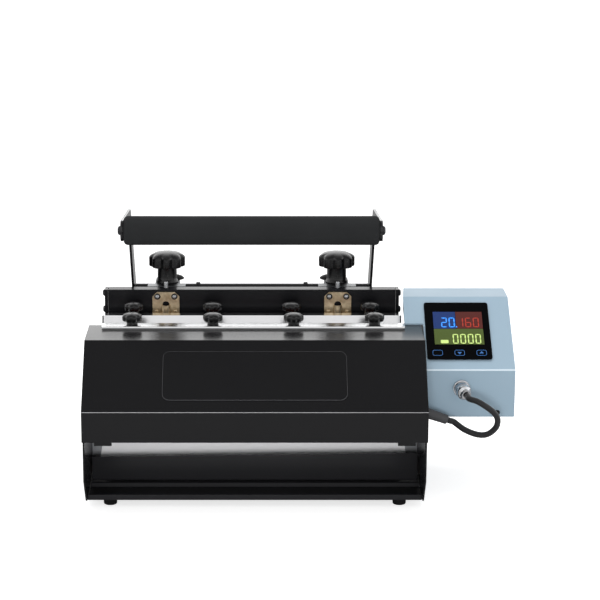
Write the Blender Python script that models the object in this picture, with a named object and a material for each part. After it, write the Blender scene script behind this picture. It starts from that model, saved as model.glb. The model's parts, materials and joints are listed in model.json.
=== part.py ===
# Tumbler heat press: a flexible heated trough in a steel base, closed by a hinged beam and a toggle handle.
# Metres, +Z up. The user stands at -Y, and +X is to the user's right. Run it in Blender 4.5.
import math

import bmesh
import bpy
from mathutils import Matrix, Vector

# Clearances
gap = 0.0003  # between touching pieces
run_gap = 0.0006  # between pieces that turn in each other
overrun = 0.004  # how far a cutter passes through what it cuts

# Base: a tray between two side plates
cover_width = 0.390
side_inset = 0.001  # side plate's outer face, inside the cover's
plate_wall = 0.002
foot_height = 0.0097
foot_radius = 0.008
foot_setback = 0.048
foot_spread = 0.167
tray_front = 0.030
tray_depth = 0.268
tray_lip = 0.0045
tray_step = 0.0045
tray_step_place = 0.041
tray_step_gap = 0.017
tray_rear_lip = 0.026
side_front = 0.0025
side_toe_height = 0.0415
side_toe_depth = 0.028
side_rear_height = 0.125
side_shoulder_height = 0.150
side_corner = 0.008

# Front cover: a bent sheet with side flanges
cover_wall = 0.0015
cover_lower = 0.0885
fold_height = 0.124
slope_depth = 0.064
top_height = 0.191
cover_depth = 0.1335
cover_flange = 0.013
tab_width = 0.020
tab_height = 0.0075
tab_inset = 0.0225  # to the tab's middle
panel_width = 0.209
panel_height = 0.0626
panel_corner = 0.008
panel_wall = 0.0008

# Rear panel with vent slots
rear_panel_height = 0.098
vent_count = 9
vent_width = 0.006
vent_height = 0.040
vent_pitch = 0.026

# Heated trough: a steel band with a silicone pad inside it
press_offset = 0.0036  # the press stands this far left of the cover's middle
band_offset = 0.0017
band_width = 0.362
band_wall = 0.0008
pad_wall = 0.003
shield_wall = 0.001
shield_y = 0.1105
shield_foot_y = 0.102
shield_foot = 0.038
shield_bend = 0.085
shield_flange = 0.014
shield_slant = 0.007
trough_middle = 0.160
trough_radius = 0.044
trough_bottom = 0.027
clamp_bend = 0.005

# Front clamp bar
bar_wall = 0.002
front_bar_length = 0.3545
front_bar_front = 0.1125
front_bar_depth = 0.0175
bar_end_radius = 0.002

# Press beam and its swing arms
beam_front = 0.208
beam_bottom = 0.1847
beam_height = 0.0313
beam_depth = 0.016
beam_wall = 0.0025
beam_length = 0.3565
arm_fall = 0.016
arm_wall = 0.004
swing_y = 0.245
swing_z = 0.048
swing_hub = 0.016
swing_shaft_radius = 0.007

# Rear clamp bar
rear_bar_front = 0.180
rear_bar_lip = 0.0105
rear_lip_lean = 0.0029
rear_bar_top = 0.1909
rear_bar_depth = 0.0125

# Clamp knobs
knob_pitch = 0.0947
clamp_knob_radius = 0.0117
clamp_knob_head = 0.0078
clamp_collar_radius = 0.0088
clamp_collar_height = 0.0052
clamp_stud_radius = 0.0025
clamp_stud_length = 0.012
clamp_lobes = 8

# Guide brackets on the beam's front
knob_to_arm = 0.043  # guide and knob from the lever's arm
guide_width = 0.0325
guide_wall = 0.002
guide_top = 0.2133
guide_chamfer = 0.0054
guide_foot = 0.007
bulge_radius = 0.0053
bulge_height = 0.013
arch_height = 0.0045

# Knob carriers behind the beam
carrier_block = 0.029
carrier_plate_depth = 0.016
carrier_width = 0.046
carrier_wall = 0.0026
carrier_hub = 0.0135
carrier_stud_place = 0.041  # behind the beam's front

# Pressure knobs
pressure_knob_radius = 0.022
pressure_lobes = 8
pressure_head_height = 0.012
pressure_dome_height = 0.0065
pressure_hub_radius = 0.0115
pressure_base_radius = 0.0132
pressure_rise = 0.0205  # underside of the head above the plate
pressure_stud_radius = 0.005
pressure_stud_length = 0.018

# Handle
pivot_y = 0.266
pivot_z = 0.200
tube_radius = 0.010
tube_wall = 0.0025
handle_width = 0.294
handle_wall = 0.003
handle_breadth = 0.0236
handle_hub = 0.016
corner_y = 0.186
corner_z = 0.3075
grip_y = 0.0565
grip_z = 0.3205
handle_end = 0.0125  # arm end ahead of the grip's axis
grip_radius = 0.0164
grip_bore = 0.009
grip_corner = 0.004
grip_rod_radius = 0.0075
bolt_radius = 0.004
bolt_head_radius = 0.0052
bolt_head_height = 0.0032

# Toggle: cranks on the handle's tube and links on a shaft in the base
crank_radius = 0.028
crank_degrees = 273
knob_to_crank = 0.040
crank_wall = 0.005
crank_hub = 0.0120
crank_eye = 0.009
crank_pin_radius = 0.003
link_y = 0.283
link_z = 0.095
link_wall = 0.004
link_half_width = 0.009
link_slot_length = 0.0105
link_slot_width = 0.0125
link_shaft_radius = 0.006

# Control box on the right side
box_gap = 0.003
box_width = 0.103
box_bottom = 0.095
box_front = 0.077
nose_height = 0.152
box_slope_rear = 0.168
box_top = 0.217
box_rear = 0.214
box_edge = 0.002
box_wall = 0.0015
box_step_reach = 0.0180
box_step_bottom = 0.1908
boss_radius = 0.007
back_plate_wall = 0.002
bezel_width = 0.0756
bezel_height = 0.086
bezel_wall = 0.0025
bezel_corner = 0.003
bezel_inset = 0.002
bezel_start_share = 0.13
window_width = 0.0585
window_height = 0.0505
window_wall = 0.001
window_left = 0.0094
window_low = 0.0210
inlet_width = 0.030
inlet_height = 0.024
inlet_depth = 0.004
inlet_wall = 0.004
switch_width = 0.013
switch_height = 0.020
switch_depth = 0.005
switch_frame = 0.0025
fitting_place_share = 0.34

# Connector and heater cable
socket_x = 0.041  # from the box's left face
socket_z = 0.1303
socket_radius = 0.010
socket_length = 0.006
plug_radius = 0.0085
plug_length = 0.013
plug_neck_radius = 0.0055
cable_radius = 0.0035
sleeve_radius = 0.006
sleeve_root_radius = 0.0045
sleeve_length = 0.027
sleeve_drop_degrees = 19
sleeve_y = 0.060
sleeve_z = 0.106
cable_points = 44
# Places on the cable's loop in front of the control box, read from the photo, in the machine's frame
cable_spots = (
    (0.2535, 0.0405, 0.1250),
    (0.2625, 0.0365, 0.1205),
    (0.2715, 0.0360, 0.1137),
    (0.2768, 0.0375, 0.1050),
    (0.2757, 0.0410, 0.0940),
    (0.2672, 0.0455, 0.0846),
    (0.2560, 0.0495, 0.0826),
    (0.2411, 0.0545, 0.0871),
)

half_cover = cover_width / 2
guide_spread = handle_width / 2 - knob_to_arm
crank_spread = guide_spread - knob_to_crank
side_outer = half_cover - side_inset
side_inner = side_outer - plate_wall
body_rear = tray_front + tray_depth + plate_wall
tray_bottom = foot_height + gap
box_left = half_cover + box_gap
box_right = box_left + box_width
half_turn = math.pi
quarter = math.pi / 2

for old in list(bpy.data.objects):
    bpy.data.objects.remove(old)


# Materials

def material(name, colour, roughness, metallic=0.0):
    made = bpy.data.materials.new(name)
    made.use_nodes = True
    shader = made.node_tree.nodes["Principled BSDF"]
    shader.inputs["Base Color"].default_value = (*colour, 1)
    shader.inputs["Roughness"].default_value = roughness
    shader.inputs["Metallic"].default_value = metallic
    return made


black_paint = material("black_paint", (0.018, 0.018, 0.019), 0.35)
polished_steel = material("polished_steel", (0.75, 0.75, 0.76), 0.12, 1.0)
zinc_gold = material("yellow_zinc", (0.62, 0.47, 0.22), 0.3, 1.0)
grey_steel = material("grey_steel", (0.45, 0.46, 0.47), 0.3, 1.0)
black_plastic = material("black_plastic", (0.02, 0.02, 0.021), 0.3)
foam = material("black_foam", (0.028, 0.029, 0.03), 0.8)
rubber = material("black_rubber", (0.02, 0.02, 0.02), 0.7)
blue_paint = material("blue_grey_paint", (0.30, 0.37, 0.43), 0.45)
silicone = material("orange_silicone", (0.45, 0.13, 0.06), 0.6)
glass = material("black_glass", (0.01, 0.01, 0.012), 0.08)
chrome = material("chrome", (0.7, 0.7, 0.7), 0.1, 1.0)


# Frames: empties that carry the pieces. The machine's own frame has its zero in the middle of the fold line.

def empty(name, place, parent=None):
    made = bpy.data.objects.new(name, None)
    bpy.context.collection.objects.link(made)
    made.location = place
    made.parent = parent
    return made


front_most = min(0.0, grip_y - max(grip_radius, handle_end))
machine = empty(
    "machine",
    (-(box_right - half_cover) / 2, -(body_rear + front_most) / 2, 0),
)
press = empty("press", (-press_offset, 0, 0), machine)
beam_pivot = empty("beam_pivot", (0, swing_y, swing_z), press)
handle_pivot = empty("handle_pivot", (0, pivot_y, pivot_z), press)
link_pivot = empty("link_pivot", (0, link_y, link_z), press)


# Outlines, as lists of (u, v) points

def arc(centre, radius, start, end, steps):
    """Points on an arc, with its angles in radians."""
    return [
        (
            centre[0] + radius * math.cos(start + (end - start) * i / steps),
            centre[1] + radius * math.sin(start + (end - start) * i / steps),
        )
        for i in range(steps + 1)
    ]


def rounded(corners, steps=4):
    """An outline from (u, v, radius) corners, with each corner turned into an arc."""
    points = []
    for i, (u, v, radius) in enumerate(corners):
        here = Vector((u, v))
        before = Vector(corners[i - 1][:2]) - here
        after = Vector(corners[(i + 1) % len(corners)][:2]) - here
        if radius == 0:
            points.append((u, v))
            continue
        half = before.angle(after) / 2
        reach = radius / math.tan(half)
        first = here + before.normalized() * reach
        last = here + after.normalized() * reach
        middle = here + (before.normalized() + after.normalized()).normalized() * (
            radius / math.sin(half)
        )
        spokes = [first - middle, last - middle]
        turn = spokes[0].angle_signed(spokes[1])
        for k in range(steps + 1):
            spoke = spokes[0].copy()
            spoke.rotate(Matrix.Rotation(-turn * k / steps, 2))
            points.append(tuple(middle + spoke))
    return points


def box_outline(u0, v0, u1, v1, radius=0.0, steps=4):
    return rounded([(u0, v0, radius), (u1, v0, radius), (u1, v1, radius), (u0, v1, radius)], steps)


def thickened(path, wall):
    """A closed outline that lies wall / 2 to each side of an open path."""
    left, right = [], []
    for i, point in enumerate(path):
        here = Vector(point)
        before = (here - Vector(path[i - 1])).normalized() if i else None
        after = (Vector(path[i + 1]) - here).normalized() if i + 1 < len(path) else None
        along = ((before or after) + (after or before)).normalized()
        square = Vector((-along.y, along.x))
        stretch = 1 / max(square.dot(Vector((-(after or before).y, (after or before).x))), 0.3)
        left.append(tuple(here + square * stretch * wall / 2))
        right.append(tuple(here - square * stretch * wall / 2))
    return left + right[::-1]


# Solids

def finish(name, shape, surface, place, parent, smooth=True):
    """Makes an object from a bmesh, with its faces turned outwards."""
    bmesh.ops.recalc_face_normals(shape, faces=shape.faces)
    mesh = bpy.data.meshes.new(name)
    shape.to_mesh(mesh)
    shape.free()
    if smooth:
        mesh.shade_smooth()
        mesh.set_sharp_from_angle(angle=math.radians(35))
    made = bpy.data.objects.new(name, mesh)
    bpy.context.collection.objects.link(made)
    made.location = place
    made.parent = parent
    if surface:
        mesh.materials.append(surface)
    return made


def prism(name, outline, low, high, along, surface=None, place=(0, 0, 0), parent=None):
    """An outline extruded from low to high along x (u, v = y, z), y (x, z) or z (x, y)."""
    spots = {
        "x": lambda u, v: (low, u, v),
        "y": lambda u, v: (u, low, v),
        "z": lambda u, v: (u, v, low),
    }[along]
    shape = bmesh.new()
    face = shape.faces.new([shape.verts.new(spots(u, v)) for u, v in outline])
    grown = bmesh.ops.extrude_face_region(shape, geom=[face])
    moved = [item for item in grown["geom"] if isinstance(item, bmesh.types.BMVert)]
    shift = Vector(spots(0, 0)) - Vector((low if axis == along else 0 for axis in "xyz"))
    step = Vector([(high - low) if axis == along else 0 for axis in "xyz"])
    bmesh.ops.translate(shape, verts=moved, vec=step + shift)
    return finish(name, shape, surface, place, parent)


def turned(name, profile, surface=None, place=(0, 0, 0), parent=None, around="z", steps=24, lobes=0, wave=0.0):
    """A solid of revolution from (radius, height) points, bottom to top, with lobes on the radii marked True."""
    shape = bmesh.new()
    rings = []
    for radius, height, *mark in profile:
        ring = []
        for i in range(steps):
            turn = 2 * half_turn * i / steps
            reach = radius * (1 - wave * (1 - math.cos(lobes * turn)) / 2) if mark else radius
            spot = (reach * math.cos(turn), reach * math.sin(turn), height)
            ring.append(shape.verts.new(spot))
        rings.append(ring)
    for low, high in zip(rings, rings[1:]):
        for i in range(steps):
            after = (i + 1) % steps
            shape.faces.new((low[i], low[after], high[after], high[i]))
    shape.faces.new(rings[0][::-1])
    shape.faces.new(rings[-1])
    turns = {"z": Matrix(), "x": Matrix.Rotation(quarter, 4, "Y"), "y": Matrix.Rotation(-quarter, 4, "X")}
    bmesh.ops.transform(shape, matrix=turns[around], verts=shape.verts)
    return finish(name, shape, surface, place, parent)


def rod(name, radius, low, high, around, surface=None, place=(0, 0, 0), parent=None, steps=14):
    return turned(name, [(radius, low), (radius, high)], surface, place, parent, around, steps)


def combine(target, other, operation):
    """A Boolean with a helper, which moves to the target's parent and is hidden."""
    other.parent = other.parent or target.parent
    other.hide_render = True
    other.display_type = "WIRE"
    change = target.modifiers.new(operation.lower(), "BOOLEAN")
    change.operation = operation
    change.solver = "EXACT"
    change.object = other
    return target


def cut(target, cutter):
    return combine(target, cutter, "DIFFERENCE")


def join(target, addition):
    return combine(target, addition, "UNION")


sides = (("left", -1), ("right", 1))


# Base

def cover_path():
    """The cover's outer face from its lower edge to its rear edge, seen from the right."""
    return [(0.0, cover_lower), (0.0, fold_height), (slope_depth, top_height), (cover_depth, top_height)]


def inset_path(depth):
    """The cover's outer face moved inwards."""
    slope = Vector((slope_depth, top_height - fold_height))
    lean = math.atan2(slope.y, slope.x)
    fold = fold_height - depth * math.tan((quarter - lean) / 2)
    crest = slope_depth + depth * math.tan(lean / 2)
    return [
        (depth, cover_lower),
        (depth, fold),
        (crest, top_height - depth),
        (cover_depth, top_height - depth),
    ]


def make_tray():
    floor = tray_bottom + plate_wall / 2
    rear = tray_front + tray_depth - plate_wall
    first = tray_front + tray_step_place
    second = first + tray_step_gap
    path = [
        (tray_front + plate_wall / 2, tray_bottom + tray_lip + plate_wall),
        (tray_front + plate_wall / 2, floor),
        (first, floor),
        (first + tray_step / 2, floor + tray_step),
        (second, floor + tray_step),
        (second + tray_step / 2, floor + 2 * tray_step),
        (rear, floor + 2 * tray_step),
        (rear, floor + 2 * tray_step + tray_rear_lip),
    ]
    half = side_inner - gap
    prism("base_tray", thickened(path, plate_wall), -half, half, "x", black_paint, parent=machine)


def make_feet():
    rear = body_rear - foot_setback / 2
    rows = (("front", foot_setback, foot_height), ("rear", rear, foot_height + 2 * tray_step))
    for name, direction in sides:
        for row, place, height in rows:
            turned(
                f"{row}_{name}_foot",
                [
                    (foot_radius - box_edge, 0),
                    (foot_radius, box_edge),
                    (foot_radius * 0.92, height),
                ],
                rubber,
                (direction * foot_spread, place, 0),
                machine,
                steps=16,
            )


def make_side_plates():
    depth = cover_wall + gap
    face, fold, crest, back = inset_path(depth)
    outline = rounded(
        [
            (side_toe_depth, tray_bottom, 0.0),
            (body_rear, tray_bottom, side_corner),
            (body_rear, side_rear_height, side_corner),
            (body_rear - side_corner * 2, side_shoulder_height - side_corner, side_corner),
            (cover_depth + side_corner * 4, side_shoulder_height + side_corner * 2, side_corner),
            (cover_depth, back[1], 0.0),
            (crest[0], crest[1], 0.0),
            (fold[0] + side_front - depth, fold[1], 0.0),
            (side_front, side_toe_height, 0.0),
        ],
        steps=3,
    )
    for name, direction in sides:
        low, high = sorted((direction * side_outer, direction * side_inner))
        plate = prism(f"{name}_side_plate", outline, low, high, "x", black_paint, parent=machine)
        for reach, height, radius in (
            (swing_y, swing_z, swing_shaft_radius),
            (link_y, link_z, link_shaft_radius),
        ):
            cut(
                plate,
                rod(
                    f"{name}_side_hole_{radius:.4f}",
                    radius + gap,
                    low - overrun,
                    high + overrun,
                    "x",
                    place=(0, reach, height),
                    parent=machine,
                ),
            )
        if direction > 0:
            cut(
                plate,
                rod("sleeve_hole", sleeve_root_radius + gap, low - overrun, high + overrun, "x",
                    place=(0, sleeve_y, sleeve_z), parent=machine),
            )


def make_cover():
    outer = cover_path()
    flange = inset_path(cover_flange)
    cover = prism("front_cover", outer + flange[::-1], -half_cover, half_cover, "x", black_paint, parent=machine)
    inner = inset_path(cover_wall)
    inner[0] = (cover_wall, cover_lower - overrun)
    inner[-1] = (cover_depth + overrun, inner[-1][1])
    far = inset_path(cover_flange + overrun)
    far[0] = (far[0][0], cover_lower - overrun)
    far[-1] = (cover_depth + overrun, far[-1][1])
    reach = side_outer + gap
    cut(cover, prism("cover_hollow", inner + far[::-1], -reach, reach, "x", parent=machine))
    for name, direction in sides:
        middle = direction * (reach - tab_inset)
        join(
            cover,
            prism(
                f"{name}_cover_tab",
                box_outline(middle - tab_width / 2, cover_lower - tab_height, middle + tab_width / 2,
                            cover_lower + cover_wall),
                cover_flange - cover_wall,
                cover_flange,
                "y",
                parent=machine,
            ),
        )
        shelf = box_outline(middle - tab_width / 2, cover_lower, middle + tab_width / 2, cover_lower + cover_wall)
        join(cover, prism(f"{name}_cover_shelf", shelf, cover_wall / 2, cover_flange - cover_wall / 2, "y",
                          parent=machine))
    for index, x in enumerate(knob_places()):
        cut(
            cover,
            rod(f"cover_hole_{index}", clamp_stud_radius + run_gap, top_height - cover_wall - overrun,
                top_height + overrun, "z", place=(x - press_offset / 2, front_knob_y(), 0), parent=machine),
        )


def make_name_panel():
    lean = math.atan2(top_height - fold_height, slope_depth)
    half = panel_width / 2
    outline = box_outline(-half, -panel_height / 2, half, panel_height / 2, panel_corner)
    panel = prism("name_panel", outline, gap, gap + panel_wall, "z", black_paint, parent=machine)
    panel.location = (0, slope_depth / 2, (fold_height + top_height) / 2)
    panel.rotation_euler = (lean, 0, 0)


def make_rear_panel():
    low = tray_front + tray_depth + gap
    half = side_inner - gap
    panel = prism(
        "rear_panel",
        box_outline(-half, tray_bottom, half, tray_bottom + rear_panel_height, side_inset),
        low,
        body_rear,
        "y",
        black_paint,
        parent=machine,
    )
    middle = tray_bottom + rear_panel_height / 2
    for index in range(vent_count):
        x = (index - (vent_count - 1) / 2) * vent_pitch
        outline = box_outline(x - vent_width / 2, middle - vent_height / 2, x + vent_width / 2,
                              middle + vent_height / 2, vent_width / 2.1, 2)
        cut(panel, prism(f"vent_{index}", outline, low - overrun, body_rear + overrun, "y", parent=machine))


def make_shafts():
    reach = half_cover - gap
    rod("beam_shaft", swing_shaft_radius, -reach, reach, "x", grey_steel, (0, swing_y, swing_z), machine)
    rod("link_shaft", link_shaft_radius, -reach, reach, "x", grey_steel, (0, link_y, link_z), machine)


# Heated trough

def smooth(points, steps):
    """A Catmull-Rom curve through the points."""
    spread = [points[0], *points, points[-1]]
    path = []
    for a, b, c, d in zip(spread, spread[1:], spread[2:], spread[3:]):
        for i in range(steps):
            t = i / steps
            path.append(
                tuple(
                    0.5 * (2 * q + (r - p) * t + (2 * p - 5 * q + 4 * r - s) * t**2 + (3 * q - p - 3 * r + s) * t**3)
                    for p, q, r, s in zip(a, b, c, d)
                )
            )
    return path + [tuple(points[-1])]


def band_path():
    """The band's middle line, from the front clamp round the belly to the rear clamp."""
    front = cover_depth + gap + band_wall
    top = top_height + gap + band_wall / 2
    under = rear_bar_top - bar_wall - 2 * gap
    lip_end = rear_bar_top - rear_bar_lip
    rear = rear_bar_front + bar_wall + gap + band_wall / 2
    belly = trough_bottom + trough_radius
    start = [(front_bar_front + bar_wall, top)]
    start += arc((front, top - clamp_bend), clamp_bend, quarter, 0, 4)
    middle = [
        (front + clamp_bend - clamp_bend / 4, top - 4 * clamp_bend),
        (trough_middle - trough_radius + clamp_bend, top - 9 * clamp_bend),
        *arc((trough_middle, belly), trough_radius, half_turn, 2 * half_turn, 6),
        (trough_middle + trough_radius - clamp_bend, lip_end - 7 * clamp_bend),
        (rear + clamp_bend / 2, lip_end - 2 * clamp_bend),
    ]
    end = [(rear, lip_end), (rear, under)]
    walls = smooth([start[-1], *middle, end[0]], 4)
    return start[:-1] + walls + end[1:]


def offset_path(path, distance):
    moved = []
    for before, here, after in zip(path, path[1:], path[2:]):
        along = (Vector(after) - Vector(before)).normalized()
        moved.append(tuple(Vector(here) + Vector((-along.y, along.x)) * distance))
    return moved


def make_trough():
    path = band_path()
    half = band_width / 2
    place = (-band_offset, 0, 0)
    band = prism("heater_band", thickened(path, band_wall), -half, half, "x", polished_steel, place, machine)
    for index, x in enumerate(knob_places()):
        cut(
            band,
            rod(f"band_front_hole_{index}", clamp_stud_radius + run_gap, top_height - overrun,
                top_height + overrun, "z", place=(x - press_offset / 2, front_knob_y(), 0), parent=machine),
        )
    inner = offset_path(path, (band_wall + pad_wall) / 2 + gap)
    tops = (top_height - 2 * clamp_bend, rear_bar_top - rear_bar_lip - 2 * clamp_bend)
    lowest = min(range(len(inner)), key=lambda i: inner[i][1])
    walls = [p for i, p in enumerate(inner) if p[1] < (tops[0] if i < lowest else tops[1])]
    prism("heater_pad", thickened(walls, pad_wall), -half, half, "x", silicone, place, machine)


def make_heat_shield():
    """A bright plate in front of the trough, which hangs from the cover's top and leans out at its foot."""
    half = band_width / 2
    top = top_height - cover_wall - gap - shield_wall / 2
    path = [
        (shield_foot_y, shield_foot),
        (shield_y, shield_bend),
        (shield_y, top),
        (shield_y - shield_flange, top),
    ]
    shield = prism("heat_shield", thickened(path, shield_wall), -half, half, "x", polished_steel,
                   (-band_offset, 0, 0), machine)
    for name, direction in sides:
        edge = direction * half - band_offset
        slant = [
            (edge - direction * shield_slant, shield_bend + gap),
            (edge + direction * overrun, shield_bend + gap),
            (edge + direction * overrun, shield_foot - shield_slant),
            (edge, shield_foot - shield_slant),
        ]
        cut(shield, prism(f"{name}_shield_slant", slant, shield_foot_y - overrun, shield_y + overrun, "y",
                          parent=machine))


# Clamp bars and knobs

def knob_places():
    return [(index - 1.5) * knob_pitch for index in range(4)]


def front_knob_y():
    return front_bar_front + front_bar_depth / 2 + clamp_knob_radius / 3


def rear_knob_y():
    return rear_bar_front + rear_bar_depth / 2 + bar_wall / 4


def make_front_bar():
    low = top_height + gap + band_wall + gap
    half = front_bar_length / 2
    outline = box_outline(-half, front_bar_front, half, front_bar_front + front_bar_depth, bar_end_radius)
    bar = prism("front_clamp_bar", outline, low, low + bar_wall, "z", polished_steel,
                (-press_offset / 2, 0, 0), machine)
    for index, x in enumerate(knob_places()):
        cut(
            bar,
            rod(f"bar_hole_{index}", clamp_stud_radius + run_gap, low - overrun, low + bar_wall + overrun, "z",
                place=(x - press_offset / 2, front_knob_y(), 0), parent=machine),
        )
    return low + bar_wall


def make_rear_bar():
    under = beam_bottom - gap - bar_wall / 2
    top = rear_bar_top
    half = beam_length / 2 - arm_wall - gap
    step = rear_bar_front + rear_bar_depth - bar_wall / 2
    path = [
        (rear_bar_front + bar_wall / 2 - rear_lip_lean, top - rear_bar_lip),
        (rear_bar_front + bar_wall / 2, top - bar_wall / 2),
        (step, top - bar_wall / 2),
        (step, under),
        (beam_front + beam_depth, under),
    ]
    bar = prism("rear_clamp_bar", thickened(path, bar_wall), -half, half, "x", polished_steel, parent=press)
    for index, x in enumerate(knob_places()):
        cut(
            bar,
            rod(f"rear_bar_hole_{index}", clamp_stud_radius + run_gap, top - bar_wall - overrun, top + overrun,
                "z", place=(x, rear_knob_y(), 0), parent=press),
        )
    return top


def make_clamp_knob(name, place, parent):
    collar = clamp_collar_height
    edge = clamp_knob_head / 5
    return turned(
        name,
        [
            (clamp_stud_radius, -clamp_stud_length),
            (clamp_stud_radius, 0),
            (clamp_collar_radius, 0),
            (clamp_collar_radius * 0.9, collar),
            (clamp_knob_radius - edge, collar, True),
            (clamp_knob_radius, collar + edge, True),
            (clamp_knob_radius, collar + clamp_knob_head - edge, True),
            (clamp_knob_radius - edge, collar + clamp_knob_head, True),
            (clamp_collar_radius * 0.4, collar + clamp_knob_head),
        ],
        black_plastic,
        place,
        parent,
        steps=clamp_lobes * 3,
        lobes=clamp_lobes,
        wave=0.14,
    )


def make_clamp_knobs(front_top, rear_top):
    for index, x in enumerate(knob_places()):
        spot = (x - press_offset / 2, front_knob_y(), front_top + gap)
        make_clamp_knob(f"front_clamp_knob_{index + 1}", spot, machine)
        make_clamp_knob(f"rear_clamp_knob_{index + 1}", (x, rear_knob_y(), rear_top + gap), press)


# Press beam

def make_beam():
    half = beam_length / 2 - arm_wall - gap
    low, high = beam_bottom + beam_wall / 2, beam_bottom + beam_height - beam_wall / 2
    path = [
        (beam_front + beam_depth, low),
        (beam_front + beam_wall / 2, low),
        (beam_front + beam_wall / 2, high),
        (beam_front + beam_depth, high),
    ]
    prism("press_beam", thickened(path, beam_wall), -half, half, "x", black_paint, parent=press)


def make_swing_arms():
    hub = arc((0, 0), swing_hub, -half_turn + quarter / 2, quarter / 4, 10)
    top = beam_bottom + beam_height - swing_z
    front = beam_front - swing_y
    rear = front + beam_depth + 2 * swing_hub
    outline = hub + [
        (rear, beam_bottom - swing_z - swing_hub),
        (rear, top - arm_fall),
        (front + beam_depth, top),
        (front, top),
        (front, beam_bottom - swing_z - side_corner),
    ]
    for name, direction in sides:
        far = direction * beam_length / 2
        low, high = sorted((far, far - direction * arm_wall))
        arm = prism(f"{name}_swing_arm", outline, low, high, "x", black_paint, parent=beam_pivot)
        cut(arm, rod(f"{name}_arm_hole", swing_shaft_radius + run_gap, low - overrun, high + overrun, "x",
                     parent=beam_pivot))


def make_guides():
    bottom = beam_bottom
    back = beam_front - gap
    front = back - guide_wall
    for name, direction in sides:
        middle = direction * guide_spread
        half = guide_width / 2
        outline = [
            (middle - half, bottom),
            (middle + half, bottom),
            (middle + half, guide_top - guide_chamfer),
            (middle + half - guide_chamfer, guide_top),
            (middle - half + guide_chamfer, guide_top),
            (middle - half, guide_top - guide_chamfer),
        ]
        guide = prism(f"{name}_guide_bracket", outline, front, back, "y", zinc_gold, parent=press)
        foot = box_outline(middle - half, bottom, middle + half, bottom + guide_wall)
        join(guide, prism(f"{name}_guide_foot", foot, front - guide_foot, front + guide_wall / 2, "y", parent=press))
        shell = arc((middle, front), bulge_radius, half_turn, 2 * half_turn, 8)
        shell = [(middle + bulge_radius, front + guide_wall / 2), (middle - bulge_radius, front + guide_wall / 2), *shell]
        join(guide, prism(f"{name}_guide_bulge", shell, bottom + guide_wall / 2, bottom + bulge_height, "z", parent=press))
        bore = bulge_radius - guide_wall / 2
        window = arc((middle, bottom + bulge_height + arch_height - bore), bore, 0, half_turn, 8)
        window += [(middle - bore, bottom + guide_wall * 2), (middle + bore, bottom + guide_wall * 2)]
        cut(guide, prism(f"{name}_guide_window", window, front - gap, back + overrun, "y", parent=press))
        hollow = arc((middle, front), bore, half_turn, 2 * half_turn, 8)
        hollow += [(middle + bore, front + gap), (middle - bore, front + gap)]
        cut(guide, prism(f"{name}_guide_hollow", hollow, bottom + guide_wall * 2, bottom + bulge_height + overrun, "z",
                         parent=press))


def make_carriers():
    top = beam_bottom + beam_height + gap
    inside = beam_bottom + beam_wall + gap
    shelf = beam_bottom + beam_height - beam_wall - gap
    front = beam_front + beam_wall + gap
    step = beam_front + beam_depth + gap
    outline = [
        (front, inside),
        (pivot_y, pivot_z - carrier_hub),
        *arc((pivot_y, pivot_z), carrier_hub, -quarter, quarter / 2, 8),
        (pivot_y + carrier_hub / 2, top),
        (step, top),
        (step, shelf),
        (front, shelf),
    ]
    plate_rear = step + carrier_plate_depth
    plate = [(front, inside), (plate_rear, inside), (plate_rear, top), (step, top), (step, shelf), (front, shelf)]
    stud_y = beam_front + carrier_stud_place
    for name, direction in sides:
        middle = direction * guide_spread
        half = carrier_width / 2
        carrier = prism(f"{name}_knob_carrier", plate, middle - half, middle + half, "x", grey_steel, parent=press)
        block = carrier_block / 2
        join(carrier, prism(f"{name}_carrier_block", outline, middle - block, middle + block, "x", parent=press))
        for part, room, reach in (("plate", half - carrier_wall, plate_rear - carrier_wall),
                                  ("block", block - carrier_wall, pivot_y + 2 * carrier_hub)):
            pocket = box_outline(front - overrun, inside - overrun * 4, reach, top - carrier_wall)
            cut(carrier, prism(f"{name}_{part}_pocket", pocket, middle - room, middle + room, "x", parent=press))
        cut(carrier, rod(f"{name}_carrier_bore", tube_radius + run_gap, middle - half - overrun,
                         middle + half + overrun, "x", place=(0, pivot_y, pivot_z), parent=press, steps=28))
        cut(carrier, rod(f"{name}_carrier_stud_hole", pressure_stud_radius + run_gap, top - overrun * 2,
                         top + overrun, "z", place=(middle, stud_y, 0), parent=press))
    return top, stud_y


def make_pressure_knobs(top, stud_y):
    rise = pressure_rise
    head = pressure_head_height
    edge = head / 5
    dome = pressure_dome_height
    profile = [
        (pressure_stud_radius, -pressure_stud_length),
        (pressure_stud_radius, 0),
        (pressure_base_radius, 0),
        (pressure_base_radius, edge),
        (pressure_hub_radius, edge * 2),
        (pressure_hub_radius, rise),
        (pressure_knob_radius - edge, rise, True),
        (pressure_knob_radius, rise + edge, True),
        (pressure_knob_radius, rise + head - edge, True),
        (pressure_knob_radius - edge, rise + head, True),
        (pressure_knob_radius * 0.74, rise + head + dome * 0.25),
        (pressure_knob_radius * 0.5, rise + head + dome * 0.72),
        (pressure_knob_radius * 0.2, rise + head + dome),
    ]
    for name, direction in sides:
        turned(f"{name}_pressure_knob", profile, black_plastic, (direction * guide_spread, stud_y, top + gap),
               press, steps=pressure_lobes * 4, lobes=pressure_lobes, wave=0.16)


# Handle

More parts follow.
